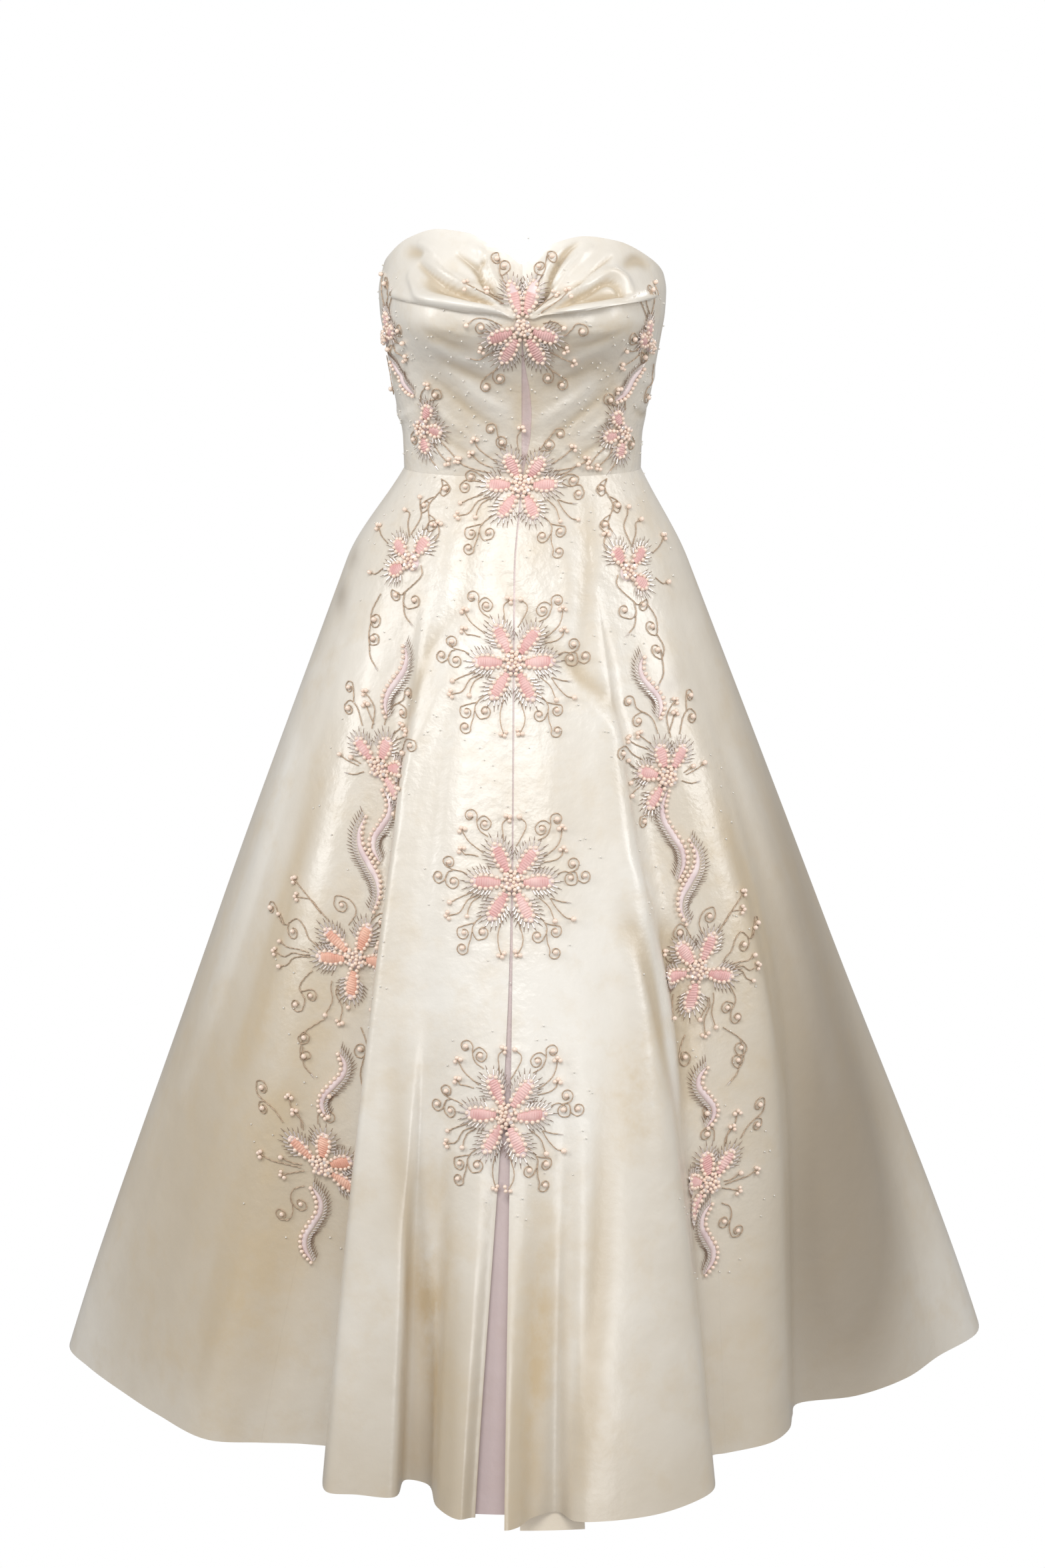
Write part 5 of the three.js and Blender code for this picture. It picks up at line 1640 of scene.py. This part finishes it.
def add_flower(name, placed_from, across, height, radius, petals):
    """A flower's middle is placed from its line. Its plan is then laid from the centre front."""
    piles = new_piles()
    middle = (float(line_across(placed_from, height)) + across, height)
    line = "centre"
    shapes = [(angle, PETAL_FOOT, radius * PETAL_SHARE, TIP_SHARE) for angle in petals]
    for shape in BUST_PETALS if name == "flower_centre_1" else shapes:
        add_petal(piles, line, middle, *shape)
    small = radius < 40
    add_cluster(piles, line, middle, 7.5 if small else 8.5, 11 if small else 15)
    base = np.linspace(0, math.tau, HUB_POINTS + 1)[:-1]
    disc = np.stack([np.cos(base), np.sin(base)], -1)
    rings = [np.asarray(middle) + disc * r for r in (HUB_REACH, HUB_REACH - 3)]
    points = [laid(line, ring, out)[0] for ring, out in zip(rings, (0.2, 2.2))]
    hub, _ = laid(line, np.asarray([middle], float), 2.8)
    number = np.arange(HUB_POINTS)
    after = np.roll(number, -1)
    upper = HUB_POINTS + number
    upper_after = HUB_POINTS + after
    start = piles["stitch"].count
    sides = np.stack([number, after, upper_after, upper], -1)
    piles["stitch"].add(np.vstack([*points, hub]), sides, 1)
    fan = np.stack([upper, upper_after, np.full(HUB_POINTS, 2 * HUB_POINTS)], -1)
    piles["stitch"].cover(fan, start, 1)
    rows, side, spread = TENDRILS[name]

    def move(points):
        return np.asarray(points, float) * (side * spread, 1) + middle

    for row in rows:
        add_tendril(piles, line, move, row)
    warm = name in SALMON_FLOWERS
    finish_piles(name, piles, [SALMON if warm else PINK, LILAC_PAD], name)


LEAF_HALF_WIDTH = 3.1
LEAF_HEIGHT = 2.4


def add_leaf(name, line, pearl_side, middle):
    """A padded leaf with pearls along one edge and a fringe of beads along the other."""
    piles = new_piles()
    path = smooth_path(middle, 14)
    places, ahead = evenly_along(path, 0.9)
    aside = np.stack([-ahead[:, 1], ahead[:, 0]], -1)
    share = np.linspace(0, 1, len(places))
    half = LEAF_HALF_WIDTH * np.clip(np.sin(np.pi * share) ** 0.6, 0.12, 1)
    over = np.linspace(-1, 1, PAD_COLUMNS)
    plan = places[:, None] + aside[:, None] * (half[:, None] * over[None])[..., None]
    swell = np.clip(np.sin(np.pi * share), 0.1, 1)[:, None] ** 0.5
    dome = LEAF_HEIGHT * np.sqrt(1 - over**2)[None] * swell
    points, _ = laid(line, plan, 0.2 + dome)
    piles["stitch"].add(points, grid_quads(len(places), PAD_COLUMNS).reshape(-1, 4)[:, ::-1])
    to_right = np.where(np.sum(aside, axis=0)[0] > 0, 1, -1)
    pearl_edge = places + aside * (half + 0.9)[:, None] * to_right * pearl_side
    row, _ = evenly_along(pearl_edge, PEARL_GAP)
    add_pearls(piles["pearls"], line, row)
    fringe_edge = places - aside * (half + 1.0)[:, None] * to_right * pearl_side
    row, heading = evenly_along(fringe_edge, 2.8)
    away = np.stack([-heading[:, 1], heading[:, 0]], -1) * -to_right * pearl_side
    away = away - heading * 0.8
    away = away / np.linalg.norm(away, axis=1, keepdims=True)
    add_rods(
        piles["beads"], BUGLE, line, row, away, length=4.2, radius=0.7, out=1.2, tilt=9
    )
    lengths = 5.8 * chance.uniform(0.8, 1.2, len(row))
    add_rods(
        piles["spikes"], SPIKE, line, row + away * 4.0, away,
        length=lengths, radius=0.5, out=1.2, tilt=7,
    )
    finish_piles(name, piles, [LILAC_PAD], name)


def add_vines():
    for line, rows in VINES:
        piles = new_piles()
        for row in rows:
            add_tendril(piles, line, lambda points: np.asarray(points, float), row)
        finish_piles("vine_" + line[5:], piles, [PINK], None)


def add_seed_beads():
    """Tiny beads strewn over the bodice's front and thinly round the flowers."""
    pile = Pile()
    strewn = chance.uniform((-150, 8), (150, 136), (130, 2))
    spots = [("centre", x, z) for x, z in strewn if abs(x) > 7]
    for name, line, across, height, radius, petals in FLOWERS:
        angle = chance.uniform(0, math.tau, 18)
        far = chance.uniform(radius + 10, radius + 40, 18)
        spots += [(line, across + f * math.cos(a), height + f * math.sin(a)) for a, f in zip(angle, far)]
    for line in ("centre", "seam_left", "seam_right", "princess_left", "princess_right"):
        plan = np.array([(x, z) for at, x, z in spots if at == line and (z > 2 or z < -2)])
        places, along, aside, normal = on_axes(line, plan, np.array([1.0, 0.0]), 0.7)
        pile.stamp(SEED, places, along, aside, normal, chance.uniform(0.8, 1.1, (len(plan), 1)))
    pile.piece("seed_beads", [SEED_WHITE], "glass_bead", 80)


def thread(name, colour, deep):
    """Embroidery thread: two tones in fine clouds and a dull sheen."""
    material, principled = shader(name, colour, 0.5, Sheen_Weight=0.3, Sheen_Roughness=0.3)
    nodes, links = material.node_tree.nodes, material.node_tree.links
    place = nodes.new("ShaderNodeTexCoord")
    clouds = nodes.new("ShaderNodeTexNoise")
    clouds.inputs["Scale"].default_value = 60
    clouds.inputs["Detail"].default_value = 4
    links.new(place.outputs["Object"], clouds.inputs["Vector"])
    tone = nodes.new("ShaderNodeValToRGB")
    tone.color_ramp.elements[0].position = 0.35
    tone.color_ramp.elements[0].color = (*linear(deep), 1)
    tone.color_ramp.elements[1].position = 0.65
    tone.color_ramp.elements[1].color = (*linear(colour), 1)
    links.new(clouds.outputs["Fac"], tone.inputs["Fac"])
    links.new(tone.outputs["Color"], principled.inputs["Base Color"])
    return material


PINK = thread("pink_thread", (238, 202, 196), (222, 172, 168))
SALMON = thread("salmon_thread", (240, 196, 174), (226, 168, 146))
LILAC_PAD = thread("lilac_pad", (240, 224, 222), (224, 202, 202))
PEARL = shader("pearl", (250, 226, 208), 0.22, Coat_Weight=0.6, Coat_Roughness=0.08)[0]
SILVER = shader("silver_bead", (228, 218, 212), 0.26, 0.3)[0]
TAUPE = shader("taupe_bead", (148, 124, 108), 0.38, 0.2)[0]
CORD = shader("twisted_cord", (190, 166, 142), 0.42, 0.25)[0]
SEED_WHITE = shader("seed_bead", (236, 232, 224), 0.2)[0]

for flower in FLOWERS:
    add_flower(*flower)
for leaf in LEAVES:
    add_leaf(*leaf)
add_vines()
add_seed_beads()


# Light, camera and surroundings

def soft_box(name, place, aim, width, height, power):
    light = bpy.data.lights.new(name, "AREA")
    light.shape = "RECTANGLE"
    light.size = width
    light.size_y = height
    light.energy = power
    lamp = bpy.data.objects.new(name, light)
    lamp.location = place
    lamp.rotation_euler = (Vector(aim) - Vector(place)).to_track_quat("-Z", "Y").to_euler()
    bpy.context.collection.objects.link(lamp)


soft_box("key_light", (-0.5, -2.3, 1.9), (0, 0, -0.15), 1.8, 1.2, 43)
soft_box("front_light", (0.7, -3.4, 0.1), (0, 0, 0.1), 1.2, 1.0, 19)
soft_box("left_light", (-2.3, -0.9, 1.0), (0, 0, 0), 0.8, 1.6, 24)
soft_box("right_light", (2.3, -0.9, 1.1), (0, 0, 0), 0.8, 1.6, 26)
soft_box("back_light", (0.3, 2.6, 1.6), (0, 0, -0.2), 1.8, 1.2, 44)

ROOM_LIGHT = 0.33  # how bright the white room is for all but the camera
world = bpy.data.worlds.new("white_room")
bpy.context.scene.world = world
world.use_nodes = True
backdrop = world.node_tree.nodes["Background"]
backdrop.inputs["Color"].default_value = (1, 1, 1, 1)
seen = world.node_tree.nodes.new("ShaderNodeLightPath")
level = world.node_tree.nodes.new("ShaderNodeMapRange")
level.inputs["To Min"].default_value = ROOM_LIGHT
level.inputs["To Max"].default_value = 1.0
world.node_tree.links.new(seen.outputs["Is Camera Ray"], level.inputs["Value"])
world.node_tree.links.new(level.outputs["Result"], backdrop.inputs["Strength"])
bpy.context.scene.view_settings.view_transform = "Standard"

CAMERA_DISTANCE = 3.3
CAMERA_HEIGHT = 0.375
CAMERA_TURN = 78.22  # degrees up from looking straight down
SENSOR_HEIGHT = 36
LENS = 78.46

camera_data = bpy.data.cameras.new("camera")
camera_data.sensor_fit = "VERTICAL"
camera_data.sensor_height = SENSOR_HEIGHT
camera_data.lens = LENS
camera = bpy.data.objects.new("camera", camera_data)
camera.location = (0, -CAMERA_DISTANCE, CAMERA_HEIGHT)
camera.rotation_euler = (math.radians(CAMERA_TURN), 0, 0)
bpy.context.collection.objects.link(camera)
bpy.context.scene.camera = camera
